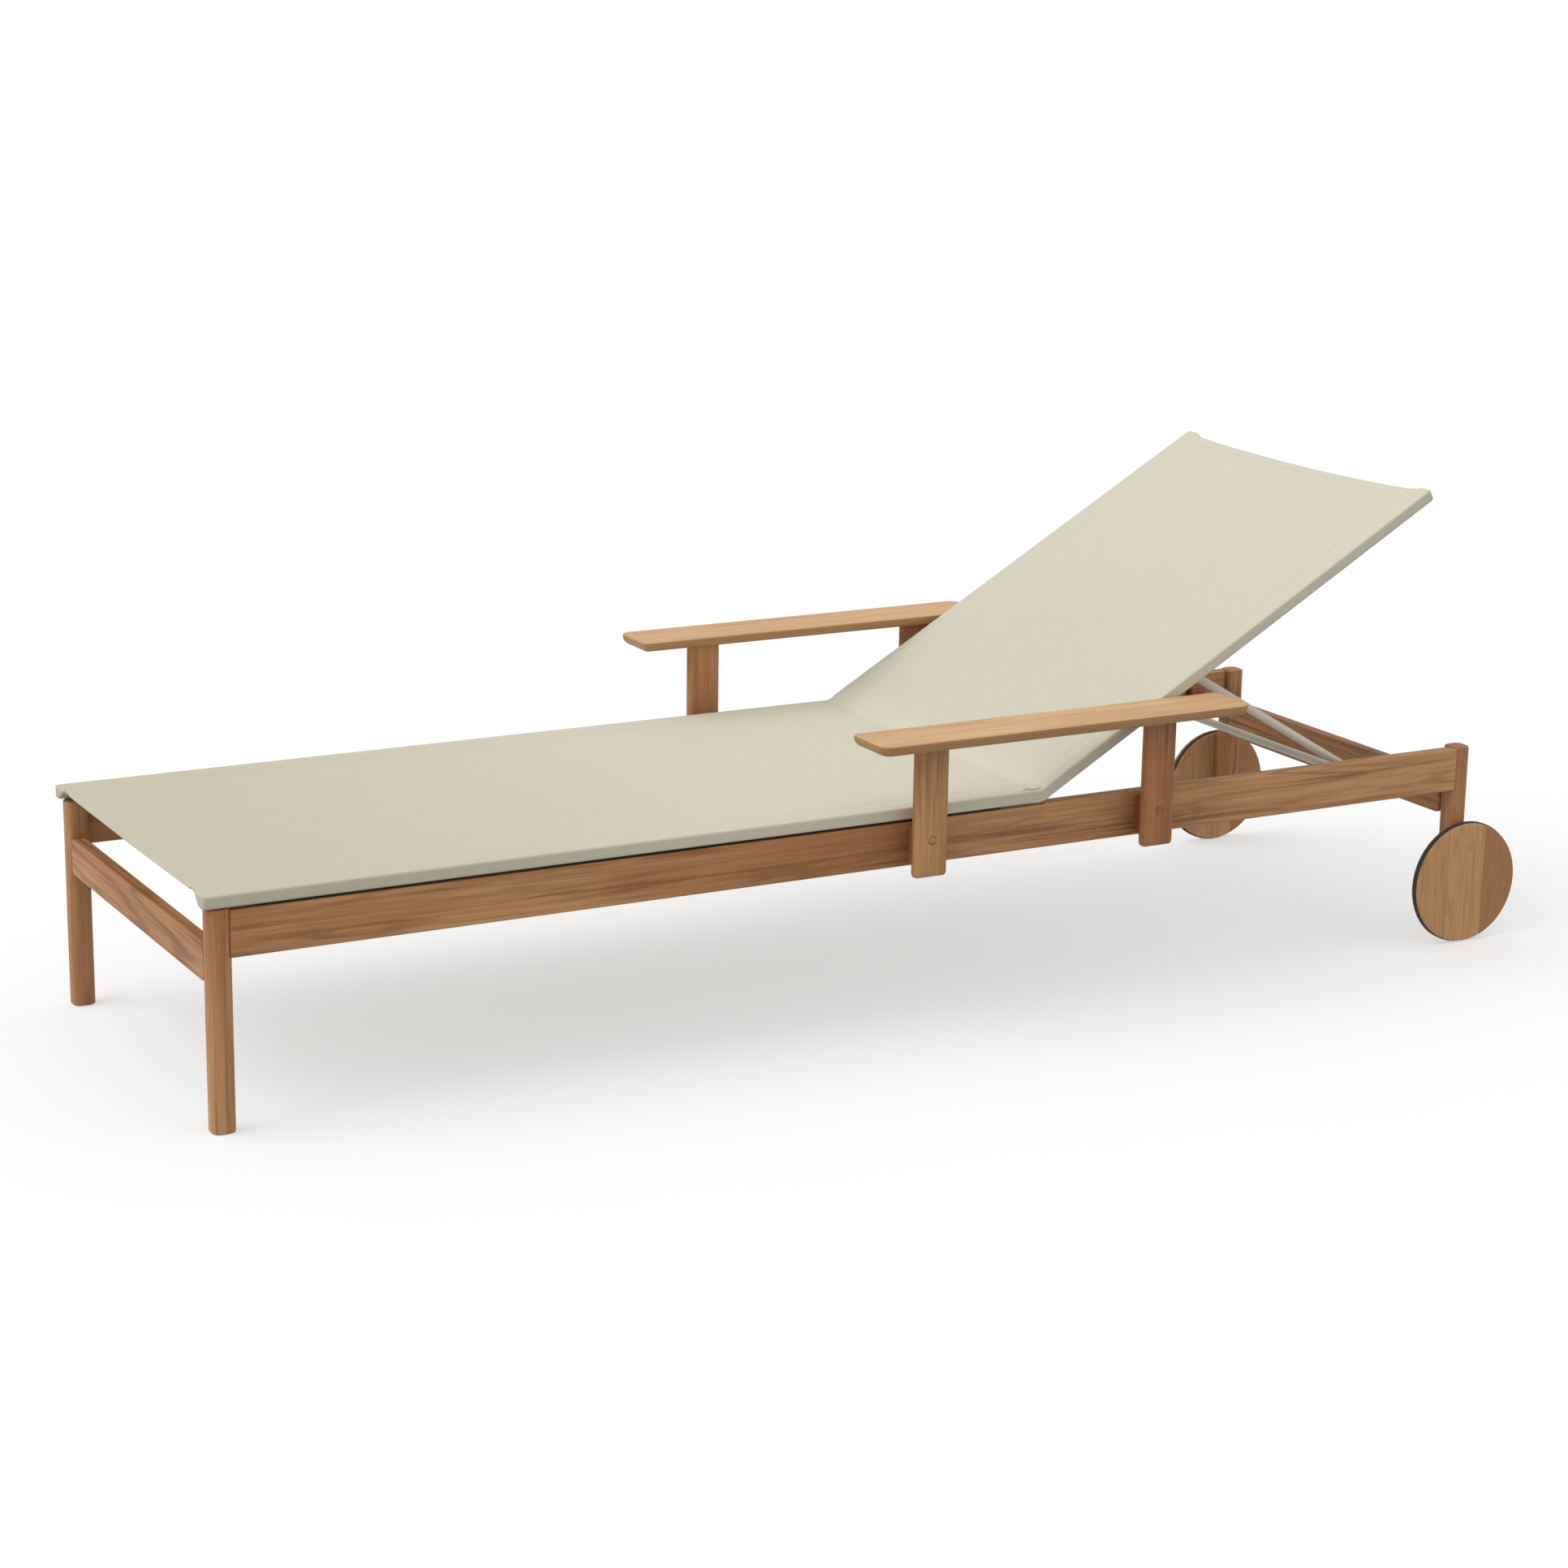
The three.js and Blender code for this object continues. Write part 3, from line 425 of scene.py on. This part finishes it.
# ---- sling --------------------------------------------------------------------------------------
HINGE = next(Vector(j["pos_m"]) for j in frame["joints"] if j["name"] == "back_recline")
REST = math.radians(30)  # the backrest's angle at rest
tube_low, tube_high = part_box("seat_tube_left")
TUBE_OUT = -tube_low.y
TUBE_IN = -tube_high.y
TUBE_HALF = (tube_high.z - tube_low.z) / 2
TUBE_ROUND = 0.0055
HEAD_MARGIN = 0.003  # how far the head sleeves pass the CAD's back sling
FOOT_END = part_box("seat_end_cap_left")[0].x - HINGE.x
back_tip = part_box("back_sling")[1]
BACK_END = (back_tip.x - HINGE.x) / math.cos(REST) + HEAD_MARGIN
BEND = 0.018  # half the length over which the cloth bends at the hinge
BEND_ROUNDS = 40
BISECTOR = Vector((math.cos(REST / 2), 0, math.sin(REST / 2)))

# the cloth's section; heights are above the tubes' axis
CLOTH = 0.0012
STAND_OFF = 0.0008  # tube face to the middle of the cloth
OUT = TUBE_OUT + STAND_OFF
TOP = TUBE_HALF + STAND_OFF
LAYER_GAP = 0.0001
SEAM_Y = 0.262  # inner edge of the side sleeves
WALL_MEETS_Y = SEAM_Y + 0.001  # where the sleeve's inner wall meets the sheet
SHEET_RISE = 0.0066  # the sheet's height at the seams
SAG = 0.0014
CORNER = 0.0022
TUCK_Y = 0.2904  # the tuck beside the hinge
SHEET_STEPS = 26
TOP_Y = (0.266, 0.270, 0.274, 0.278, 0.282, 0.285, 0.287, 0.2884, 0.2894,
         TUCK_Y, TUCK_Y + 0.0003, 0.2914, 0.2928, OUT - CORNER)
BAND_STEPS = 6
INNER_STEPS = 4
ALLOWANCE_Y = (0.257, 0.250)

# the cloth's two ends
HEM_Y = 0.2495  # half the length of the hems
HEM_WIDTH = 0.022
END_ROUND = 0.0045
INSET_FADE = 0.06  # the ends' inset fades out over this length
PULL_Y = 0.277  # the cloth between the sleeves is drawn in from here
FOOT_PULL, FOOT_PULL_FADE = 0.0015, 0.02
HEAD_PULL, HEAD_PULL_FADE = 0.0045, 0.016
HEAD_BOW = 0.0075
# share of the sleeve's section left, and metres past its end
FOOT_CAP = ((0.95, 0.0010), (0.86, 0.0016), (0.6, 0.0019), (0.3, 0.0020), (0.08, 0.0020))
HEAD_CAP = ((0.985, 0.0010), (0.94, 0.0020), (0.86, 0.0030), (0.74, 0.0038), (0.58, 0.0044),
            (0.36, 0.0047), (0.08, 0.0048))

# the cloth's rows
END_STEPS = (0.0016, 0.005, 0.010, 0.016, 0.024, 0.034, 0.046, 0.060)
HINGE_STEPS = (0.0004, 0.002, 0.004, 0.006, 0.008, 0.010, 0.0125, 0.015, 0.018, 0.022, 0.028, 0.036)
ROW_SPACING = 0.011

# the pleat beside the hinge; lengths are measured from the hinge along the cloth
PLEAT_FROM, PLEAT_TO = -0.032, 0.008
PLEAT_FADE_IN, PLEAT_FADE_OUT = 0.016, 0.006
TUCK_HEIGHT, TUCK_WIDTH = 0.0026, 0.006
TUCK_EDGE = 0.0001  # room for the row of points on the tuck itself
TUCK_SLIDE = 0.30
SLIDE_INSIDE, SLIDE_OUTSIDE = 0.007, 0.0016
PINCH, PINCH_LENGTH = 0.0016, 0.0035
PINCH_Y, PINCH_FADE = 0.284, 0.011

# half the lengths of the openings in the sleeves' inner walls
TUBE_OPENING = 0.018
BRACKET_OPENING = 0.026
HINGE_OPENING = 0.011


def smooth(value):
    value = min(max(value, 0.0), 1.0)
    return value * value * (3 - 2 * value)


def turned(s, n, angle):
    """(x, z) from the hinge of the point (s, n) of a cloth turned by angle."""
    x = s * math.cos(angle) - n * math.sin(angle)
    z = s * math.sin(angle) + n * math.cos(angle)
    return x, z


def at_rest(s, y, n):
    """Where the flat cloth's point, s from the hinge along it and n above the tube axis, is at rest.

    Both depend on each other, so they are found in rounds.
    """
    reach = 2 * BEND * math.cos(REST / 2)
    weight = 0.0 if s < 0 else 1.0
    if abs(s) < 2.5 * BEND:
        weight = min(max((s + BEND) / (2 * BEND), 0.0), 1.0)
        for _ in range(BEND_ROUNDS):
            x, z = turned(s, n, weight * REST)
            share = smooth((x * BISECTOR.x + z * BISECTOR.z) / reach + 0.5)
            weight = 0.6 * weight + 0.4 * share
    x, z = turned(s, n, weight * REST)
    return Vector((HINGE.x + x, y, HINGE.z + z))


def bend_with_back(piece):
    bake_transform(piece)


def sheet_height(y):
    """Height of the middle of the cloth between the sleeves and over the tubes."""
    inside = min(abs(y) / SEAM_Y, 1.0)
    over_tube = smooth((abs(y) - SEAM_Y) / (TUBE_IN - SEAM_Y))
    return SHEET_RISE - SAG * (1 - inside ** 2) + (TOP - SHEET_RISE) * over_tube


def arc(centre_y, centre_n, radius, start, end, steps):
    """Points of an arc between two angles in degrees, without its first one."""
    points = []
    for step in range(1, steps + 1):
        angle = math.radians(start + (end - start) * step / steps)
        points.append((centre_y + radius * math.cos(angle), centre_n + radius * math.sin(angle)))
    return points


def inner_wall():
    """The sleeve's way round the tube's lower inner corner and straight up to the seam."""
    turn_y, turn_n = TUBE_IN + TUBE_ROUND, TUBE_ROUND - TUBE_HALF
    radius = TUBE_ROUND + STAND_OFF
    seam_n = SHEET_RISE - CLOTH - LAYER_GAP
    to_seam = math.atan2(seam_n - turn_n, WALL_MEETS_Y - turn_y)
    away = math.acos(radius / math.hypot(WALL_MEETS_Y - turn_y, seam_n - turn_n))
    last = math.degrees(to_seam + away) - 360
    points = arc(turn_y, turn_n, radius, -90, last, 3)
    from_y, from_n = points[-1]
    for i in range(1, INNER_STEPS + 1):
        points.append((from_y + (WALL_MEETS_Y - from_y) * i / INNER_STEPS,
                       from_n + (seam_n - from_n) * i / INNER_STEPS))
    return points


def half_section():
    """(y, n, part) from the middle of the sheet out, round the side tube and back to the seam."""
    sheet_y = [SEAM_Y * i / SHEET_STEPS for i in range(SHEET_STEPS + 1)]
    turn_y = TUBE_IN + TUBE_ROUND
    points = [(y, sheet_height(y), "sheet") for y in sheet_y]
    points += [(y, sheet_height(y), "top") for y in TOP_Y]
    points += [(*p, "edge") for p in arc(OUT - CORNER, TOP - CORNER, CORNER, 90, 0, 4)]
    points += [(OUT, (TOP - CORNER) * (1 - 2 * i / BAND_STEPS), "band")
               for i in range(1, BAND_STEPS + 1)]
    points += [(*p, "edge_under") for p in arc(OUT - CORNER, CORNER - TOP, CORNER, 0, -90, 3)]
    points += [(OUT - CORNER + (turn_y - OUT + CORNER) * i / 2, -TOP, "under") for i in (1, 2)]
    points += [(*p, "inner") for p in inner_wall()]
    points += [(y, sheet_height(y) - CLOTH - LAYER_GAP, "allowance") for y in ALLOWANCE_Y]
    return points


def corner_round(y):
    past = max(abs(y) - (OUT - END_ROUND), 0.0)
    return END_ROUND - math.sqrt(max(END_ROUND ** 2 - past ** 2, 0.0))


def foot_inset(y):
    """How far the cloth's foot edge stands back from the end of the tubes."""
    return FOOT_PULL * smooth((PULL_Y - abs(y)) / FOOT_PULL_FADE) + corner_round(y)


def back_inset(y):
    """The head hem is drawn in between the two tube ends."""
    inside = max(PULL_Y - abs(y), 0.0)
    pulled = HEAD_PULL * (1 - math.exp(-inside / HEAD_PULL_FADE))
    bowed = HEAD_BOW * (1 - min(abs(y) / PULL_Y, 1) ** 2)
    return pulled + bowed + corner_round(y)


def between(start, stop):
    """Even rows between two distances, without these two."""
    count = round((stop - start) / ROW_SPACING)
    return [start + (stop - start) * i / count for i in range(1, count)]


def cloth_rows():
    """Distances from the hinge of the rows of the cloth, from the foot end to the head end."""
    rows = [FOOT_END + d for d in END_STEPS]
    rows += between(rows[-1], -HINGE_STEPS[-1])
    rows += [-d for d in reversed(HINGE_STEPS)] + list(HINGE_STEPS)
    rows += between(HINGE_STEPS[-1], BACK_END - END_STEPS[-1])
    return rows + [BACK_END - d for d in reversed(END_STEPS)]


def along_seat(node_name):
    """Where a node's middle lies along the seat, from the hinge."""
    low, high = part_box(node_name)
    return (low.x + high.x) / 2 - HINGE.x


def along_back(node_name):
    """Where a node's middle lies along the backrest, from the hinge."""
    low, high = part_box(node_name)
    middle = (low + high) / 2 - HINGE
    return middle.x * math.cos(REST) + middle.z * math.sin(REST)


# (place along the cloth, half length) of each opening
OPENINGS = [(along_seat(f"seat_cross_tube_{end}"), TUBE_OPENING) for end in ("foot", "head")]
OPENINGS += [(along_back(f"back_cross_tube_{end}"), TUBE_OPENING) for end in ("lower", "upper")]
OPENINGS += [(along_back("bail_bracket_left"), BRACKET_OPENING), (0.0, HINGE_OPENING)]


def ripple(s, y):
    """The slight unevenness of cloth under tension."""
    broad = noise.noise(Vector((s * 6.0, y * 9.0, 3.1)))
    fine = noise.noise(Vector((s * 22.0, y * 16.0, 7.7)))
    return (0.0005 * broad + 0.00016 * fine) * smooth((SEAM_Y - abs(y)) / 0.05)


def hinge_pleat(s, y, n, part):
    """Where the fold of the backrest tucks and pinches the sleeve; returns the moved y and n."""
    if part in ("top", "edge", "band") and n > 0:
        pinch = math.exp(-(s / PINCH_LENGTH) ** 2) * smooth((abs(y) - PINCH_Y) / PINCH_FADE)
        y -= math.copysign(PINCH * pinch, y)
    if part == "top" and PLEAT_FROM < s < PLEAT_TO:
        inside = TUCK_Y - abs(y)
        on_sheet_side = inside > -TUCK_EDGE
        reach = (smooth((s - PLEAT_FROM) / PLEAT_FADE_IN)
                 * smooth((PLEAT_TO - s) / PLEAT_FADE_OUT))
        if on_sheet_side:
            n += TUCK_HEIGHT * reach * math.exp(-(inside / TUCK_WIDTH) ** 2)
        spread = SLIDE_INSIDE if on_sheet_side else SLIDE_OUTSIDE
        slide = TUCK_SLIDE * max(-s, 0.0) * reach * math.exp(-(inside / spread) ** 2)
        y -= math.copysign(slide, y)
    return y, n


class SlingSurface:
    """The middle surface of the cloth, a grid of rows along it and columns across it."""

    def __init__(self):
        half = half_section()
        self.section = [(-y, n, part) for y, n, part in reversed(half[1:])] + half
        self.across = [0.0]  # length of the cloth from its left edge to each column
        for (y0, n0, _), (y1, n1, _) in zip(self.section, self.section[1:]):
            self.across.append(self.across[-1] + math.hypot(y1 - y0, n1 - n0))
        self.rows = cloth_rows()
        self.bm = bmesh.new()
        self.uv = self.bm.loops.layers.uv.new("cloth")
        self.flat = {}  # each vertex's place on the flat cloth
        columns = range(len(self.section))
        self.grid = [[self.grid_vertex(s, c) for c in columns] for s in self.rows]
        self.fill()
        for row, towards in ((0, -1), (len(self.rows) - 1, 1)):
            self.fold_hem(row, towards)
            for side in (-1, 1):
                self.close_sleeve(row, towards, side)

    def vertex(self, s, y, n, flat):
        v = self.bm.verts.new(at_rest(s, y, n))
        self.flat[v] = flat
        return v

    def face(self, *corners):
        made = self.bm.faces.new(corners)
        for loop in made.loops:
            loop[self.uv].uv = self.flat[loop.vert]

    def placed(self, row_s, column):
        """(s, y, n) of a grid point, with its end's inset, the ripple and the pleat."""
        y, n, part = self.section[column]
        from_foot = row_s - FOOT_END
        from_back = BACK_END - row_s
        s = row_s + foot_inset(y) * max(0.0, 1 - from_foot / INSET_FADE) ** 2
        s -= back_inset(y) * max(0.0, 1 - from_back / INSET_FADE) ** 2
        if part in ("sheet", "top", "allowance"):
            n += ripple(s, y)
        y, n = hinge_pleat(s, y, n, part)
        return s, y, n

    def grid_vertex(self, row_s, column):
        s, y, n = self.placed(row_s, column)
        return self.vertex(s, y, n, (self.across[column], s))

    def is_open(self, row, column):
        """Whether a face is left out, where a tube, a bracket or the hinge comes through."""
        parts = {self.section[column][2], self.section[column + 1][2]}
        middle = (self.rows[row] + self.rows[row + 1]) / 2
        return "inner" in parts and any(abs(middle - s) < half for s, half in OPENINGS)

    def fill(self):
        for r, (row, next_row) in enumerate(zip(self.grid, self.grid[1:])):
            for c in range(len(self.section) - 1):
                if not self.is_open(r, c):
                    self.face(row[c], row[c + 1], next_row[c + 1], next_row[c])

    def fold_hem(self, row, towards):
        """Turns the free edge between the sleeves under, as the hem."""
        row_s = self.rows[row]
        columns = [c for c, (y, _, part) in enumerate(self.section)
                   if part == "sheet" and abs(y) <= HEM_Y]
        gap = CLOTH / 2 + LAYER_GAP / 2
        steps = [(math.sin(math.radians(a)) * gap, gap - math.cos(math.radians(a)) * gap)
                 for a in (60, 120, 180)]
        steps += [(-HEM_WIDTH * k / 3, 2 * gap) for k in (1, 2, 3)]
        before = [self.grid[row][c] for c in columns]
        run = 0.0
        for out_by, down_by in steps:
            run += 0.001 if out_by >= 0 else HEM_WIDTH / 3
            line = []
            for c in columns:
                s, y, n = self.placed(row_s, c)
                flat = (self.across[c], s + towards * run)
                line.append(self.vertex(s + towards * out_by, y, n - down_by, flat))
            for i in range(len(columns) - 1):
                quad = (before[i], before[i + 1], line[i + 1], line[i])
                self.face(*(quad if towards > 0 else quad[::-1]))
            before = line

    def close_sleeve(self, row, towards, side):
        """Closes the end of a sleeve over the tube's cap."""
        row_s = self.rows[row]
        columns = [c for c, (y, _, part) in enumerate(self.section)
                   if y * side > SEAM_Y - LAYER_GAP and part != "allowance"]
        columns = columns if side > 0 else columns[::-1]
        ring = [self.grid[row][c] for c in columns]
        rim = [self.placed(row_s, c) for c in columns]
        middle_y = side * (SEAM_Y + OUT) / 2
        middle_n = sum(n for _, _, n in rim) / len(rim) if towards < 0 else 0.0
        inset = foot_inset if towards < 0 else back_inset
        count = len(ring)
        for keep, out_by in (FOOT_CAP if towards < 0 else HEAD_CAP):
            line = []
            for _, y, n in rim:
                new_y = middle_y + (y - middle_y) * keep
                new_s = row_s - towards * inset(new_y) + towards * out_by
                new_n = middle_n + (n - middle_n) * keep
                line.append(self.vertex(new_s, new_y, new_n, (new_y, row_s + new_n)))
            for i in range(count):
                quad = (ring[i], ring[(i + 1) % count], line[(i + 1) % count], line[i])
                self.face(*(quad if towards * side > 0 else quad[::-1]))
            ring = line
        self.face(*(ring if towards * side > 0 else ring[::-1]))


def new_piece(name, bm, *materials):
    """Ends a bmesh and puts it in the scene as a piece with these materials."""
    mesh = bpy.data.meshes.new(name)
    bm.to_mesh(mesh)
    bm.free()
    for material in materials:
        mesh.materials.append(material)
    piece = bpy.data.objects.new(name, mesh)
    scene.collection.objects.link(piece)
    return piece


def thicken(piece):
    """Gives a surface the cloth's thickness, as real geometry."""
    body = piece.modifiers.new("thickness", "SOLIDIFY")
    body.thickness = CLOTH
    body.offset = 0.0
    body.use_even_offset = True
    evaluated = piece.evaluated_get(bpy.context.evaluated_depsgraph_get())
    thick = bpy.data.meshes.new_from_object(evaluated)
    piece.modifiers.clear()
    piece.data = thick


def make_sling():
    """The one cloth over seat and backrest; returns it and the width it is cut to."""
    surface = SlingSurface()
    sling = new_piece("sling", surface.bm, cloth)
    sling.data.shade_smooth()
    sling.data.set_sharp_from_angle(angle=math.radians(75))
    thicken(sling)
    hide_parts("seat_sling", "back_sling")
    bend_with_back(sling)
    return sling, surface.across[-1]


# ---- stitching ----------------------------------------------------------------------------------
STITCH_PITCH = 0.0052
STITCH_LENGTH = 0.0036
STITCH_WIDTH = 0.0009
STITCH_HEIGHT = 0.00035
STITCH_Y = 0.2565  # the seam beside each sleeve
STITCH_PAST_FOOT = 0.012  # from the cloth's ends to the seams' first and last stitches
STITCH_BEFORE_HEAD = 0.022
HEM_STITCH = 0.018  # from the cloth's ends to the hems' stitches


def add_stitch(bm, start, end, up):
    """A short thread lying on the cloth: a five-sided section, drawn in at both ends."""
    along = end - start
    side = along.cross(up).normalized() * STITCH_WIDTH / 2
    lift = up * STITCH_HEIGHT
    rings = []
    for share, size in ((0.0, 0.35), (0.2, 1.0), (0.8, 1.0), (1.0, 0.35)):
        centre = start + along * share
        rings.append([bm.verts.new(centre + side * a * size + lift * b * size)
                      for a, b in ((-1, 0), (-0.6, 0.8), (0.6, 0.8), (1, 0), (0, -0.8))])
    for low, high in zip(rings, rings[1:]):
        for i in range(5):
            bm.faces.new((low[i], low[(i + 1) % 5], high[(i + 1) % 5], high[i]))
    bm.faces.new(rings[0][::-1])
    bm.faces.new(rings[-1])


def cloth_top(s, y):
    return at_rest(s, y, sheet_height(y) + ripple(s, y) + CLOTH / 2)


def stitch_line(bm, spans):
    """A stitch over each span, which is two points (s, y) of the cloth."""
    for (s0, y0), (s1, y1) in spans:
        start, end = cloth_top(s0, y0), cloth_top(s1, y1)
        beside = cloth_top(s0, y0 + 0.001) if s0 != s1 else cloth_top(s0 + 0.001, y0)
        up = (end - start).cross(beside - start).normalized()
        up = up if up.z > 0 else -up
        add_stitch(bm, start, end, up)


def make_stitching():
    """The thread lines along the sleeves' seams and the two hems."""
    bm = bmesh.new()
    for side in (-1, 1):
        y = side * STITCH_Y
        first, stop = FOOT_END + STITCH_PAST_FOOT, BACK_END - STITCH_BEFORE_HEAD
        count = int((stop - first) / STITCH_PITCH)
        starts = [first + i * STITCH_PITCH for i in range(count)]
        stitch_line(bm, [((s, y), (s + STITCH_LENGTH, y)) for s in starts])
    for end, inset, inwards in ((FOOT_END, foot_inset, 1), (BACK_END, back_inset, -1)):
        count = int(2 * HEM_Y / STITCH_PITCH)
        spans = []
        for i in range(count):
            y0 = -HEM_Y + i * STITCH_PITCH
            y1 = y0 + STITCH_LENGTH
            spans.append(((end + inwards * (inset(y0) * 0.5 + HEM_STITCH), y0),
                          (end + inwards * (inset(y1) * 0.5 + HEM_STITCH), y1)))
        stitch_line(bm, spans)
    piece = new_piece("sling_stitching", bm, thread)
    bend_with_back(piece)
    return piece


sling, cut_width = make_sling()
stitching = make_stitching()


# ---- screw plugs --------------------------------------------------------------------------------
PLUG_Z = 0.268  # height of the bolts in the arm posts
PLUG_STEPS = 28
# radius, and height over the post's face, from the middle out
PLUG_PROFILE = ((0.0001, 0.0006), (0.003, 0.0006), (0.0048, 0.0005), (0.0053, 0.0001),
                (0.0060, 0.0001), (0.0060, -0.001))
GROOVE_SHADE_FROM = 3  # the first band of the profile that is painted dark, as the shadow of a groove round the plug


def make_plug(name, x, side, material):
    """A wooden plug over a bolt in the outer face of an arm post."""
    face_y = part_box("arm_post_front_right")[1].y
    turns = [2 * math.pi * step / PLUG_STEPS for step in range(PLUG_STEPS)]
    bm = bmesh.new()
    rings = []
    for radius, height in PLUG_PROFILE:
        rings.append([bm.verts.new((x + radius * math.cos(turn), side * (face_y + height),
                                    PLUG_Z + radius * math.sin(turn))) for turn in turns])
    for index, (inner, outer) in enumerate(zip(rings, rings[1:])):
        for i in range(PLUG_STEPS):
            after = (i + 1) % PLUG_STEPS
            made = bm.faces.new((inner[i], inner[after], outer[after], outer[i]))
            made.material_index = 1 if index >= GROOVE_SHADE_FROM else 0
    bm.faces.new(rings[0])
    bm.faces.new(rings[-1])
    bmesh.ops.recalc_face_normals(bm, faces=bm.faces)
    plug = new_piece(name, bm, material, plug_groove_shade)
    plug.data.shade_smooth()
    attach(plug, "frame")


for side_name, side in (("left", -1), ("right", 1)):
    for end_name, plug_teak in (("front", plug_wood), ("rear", rear_plug_wood)):
        low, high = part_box(f"arm_post_{end_name}_{side_name}")
        make_plug(f"screw_plug_{end_name}_{side_name}", (low.x + high.x) / 2, side, plug_teak)


# ---- floor and light ----------------------------------------------------------------------------
FLOOR_HALF = 300.0
FLOOR_LIGHT, FLOOR_DARK = (0.51, 0.51, 0.51, 1), (0.50, 0.50, 0.50, 1)
FLOOR_GLOW = 0.49
SKY_ABOVE = 0.79
SKY_BELOW = 0.38
SKY_FADE = (-0.22, 0.02)  # heights of the direction where the sky goes from below to above
SUN_ENERGY = 1.10
SUN_ANGLE = math.radians(50)
SUN_TOWARDS = Vector((0.68, -0.12, -0.73))


def make_floor():
    mesh = bpy.data.meshes.new("floor")
    half = FLOOR_HALF
    mesh.from_pydata([(-half, -half, 0), (half, -half, 0), (half, half, 0), (-half, half, 0)],
                     [], [(0, 1, 2, 3)])
    t = Tree("floor")
    coords = t.nodes.new("ShaderNodeTexCoord").outputs["Object"]
    speckle = t.noise(coords, scale=3.0, detail=2.0)
    t.feed(t.shader.inputs["Base Color"], t.mix(speckle, FLOOR_LIGHT, FLOOR_DARK))
    t.shader.inputs["Roughness"].default_value = 0.9
    t.shader.inputs["Specular IOR Level"].default_value = 0.0
    t.shader.inputs["Emission Color"].default_value = (1, 1, 1, 1)
    t.shader.inputs["Emission Strength"].default_value = FLOOR_GLOW
    mesh.materials.append(t.material)
    floor = bpy.data.objects.new("floor", mesh)
    scene.collection.objects.link(floor)
    floor.visible_diffuse = False


def make_lights():
    sky = bpy.data.worlds.new("studio")
    sky.use_nodes = True
    tree = sky.node_tree
    shade = tree.nodes["Background"]
    coords = tree.nodes.new("ShaderNodeTexCoord")
    split = tree.nodes.new("ShaderNodeSeparateXYZ")
    level = tree.nodes.new("ShaderNodeMapRange")
    level.interpolation_type = "SMOOTHSTEP"
    level.inputs["From Min"].default_value = SKY_FADE[0]
    level.inputs["From Max"].default_value = SKY_FADE[1]
    level.inputs["To Min"].default_value = SKY_BELOW
    level.inputs["To Max"].default_value = SKY_ABOVE
    tree.links.new(coords.outputs["Generated"], split.inputs[0])
    tree.links.new(split.outputs["Z"], level.inputs["Value"])
    tree.links.new(level.outputs["Result"], shade.inputs["Strength"])
    shade.inputs["Color"].default_value = (1, 1, 1, 1)
    scene.world = sky
    key = bpy.data.lights.new("key", "SUN")
    key.energy = SUN_ENERGY
    key.angle = SUN_ANGLE
    lamp = bpy.data.objects.new("key", key)
    lamp.rotation_mode = "QUATERNION"
    lamp.rotation_quaternion = SUN_TOWARDS.to_track_quat("-Z", "Y")
    scene.collection.objects.link(lamp)


make_floor()
make_lights()
scene.view_settings.view_transform = "Standard"
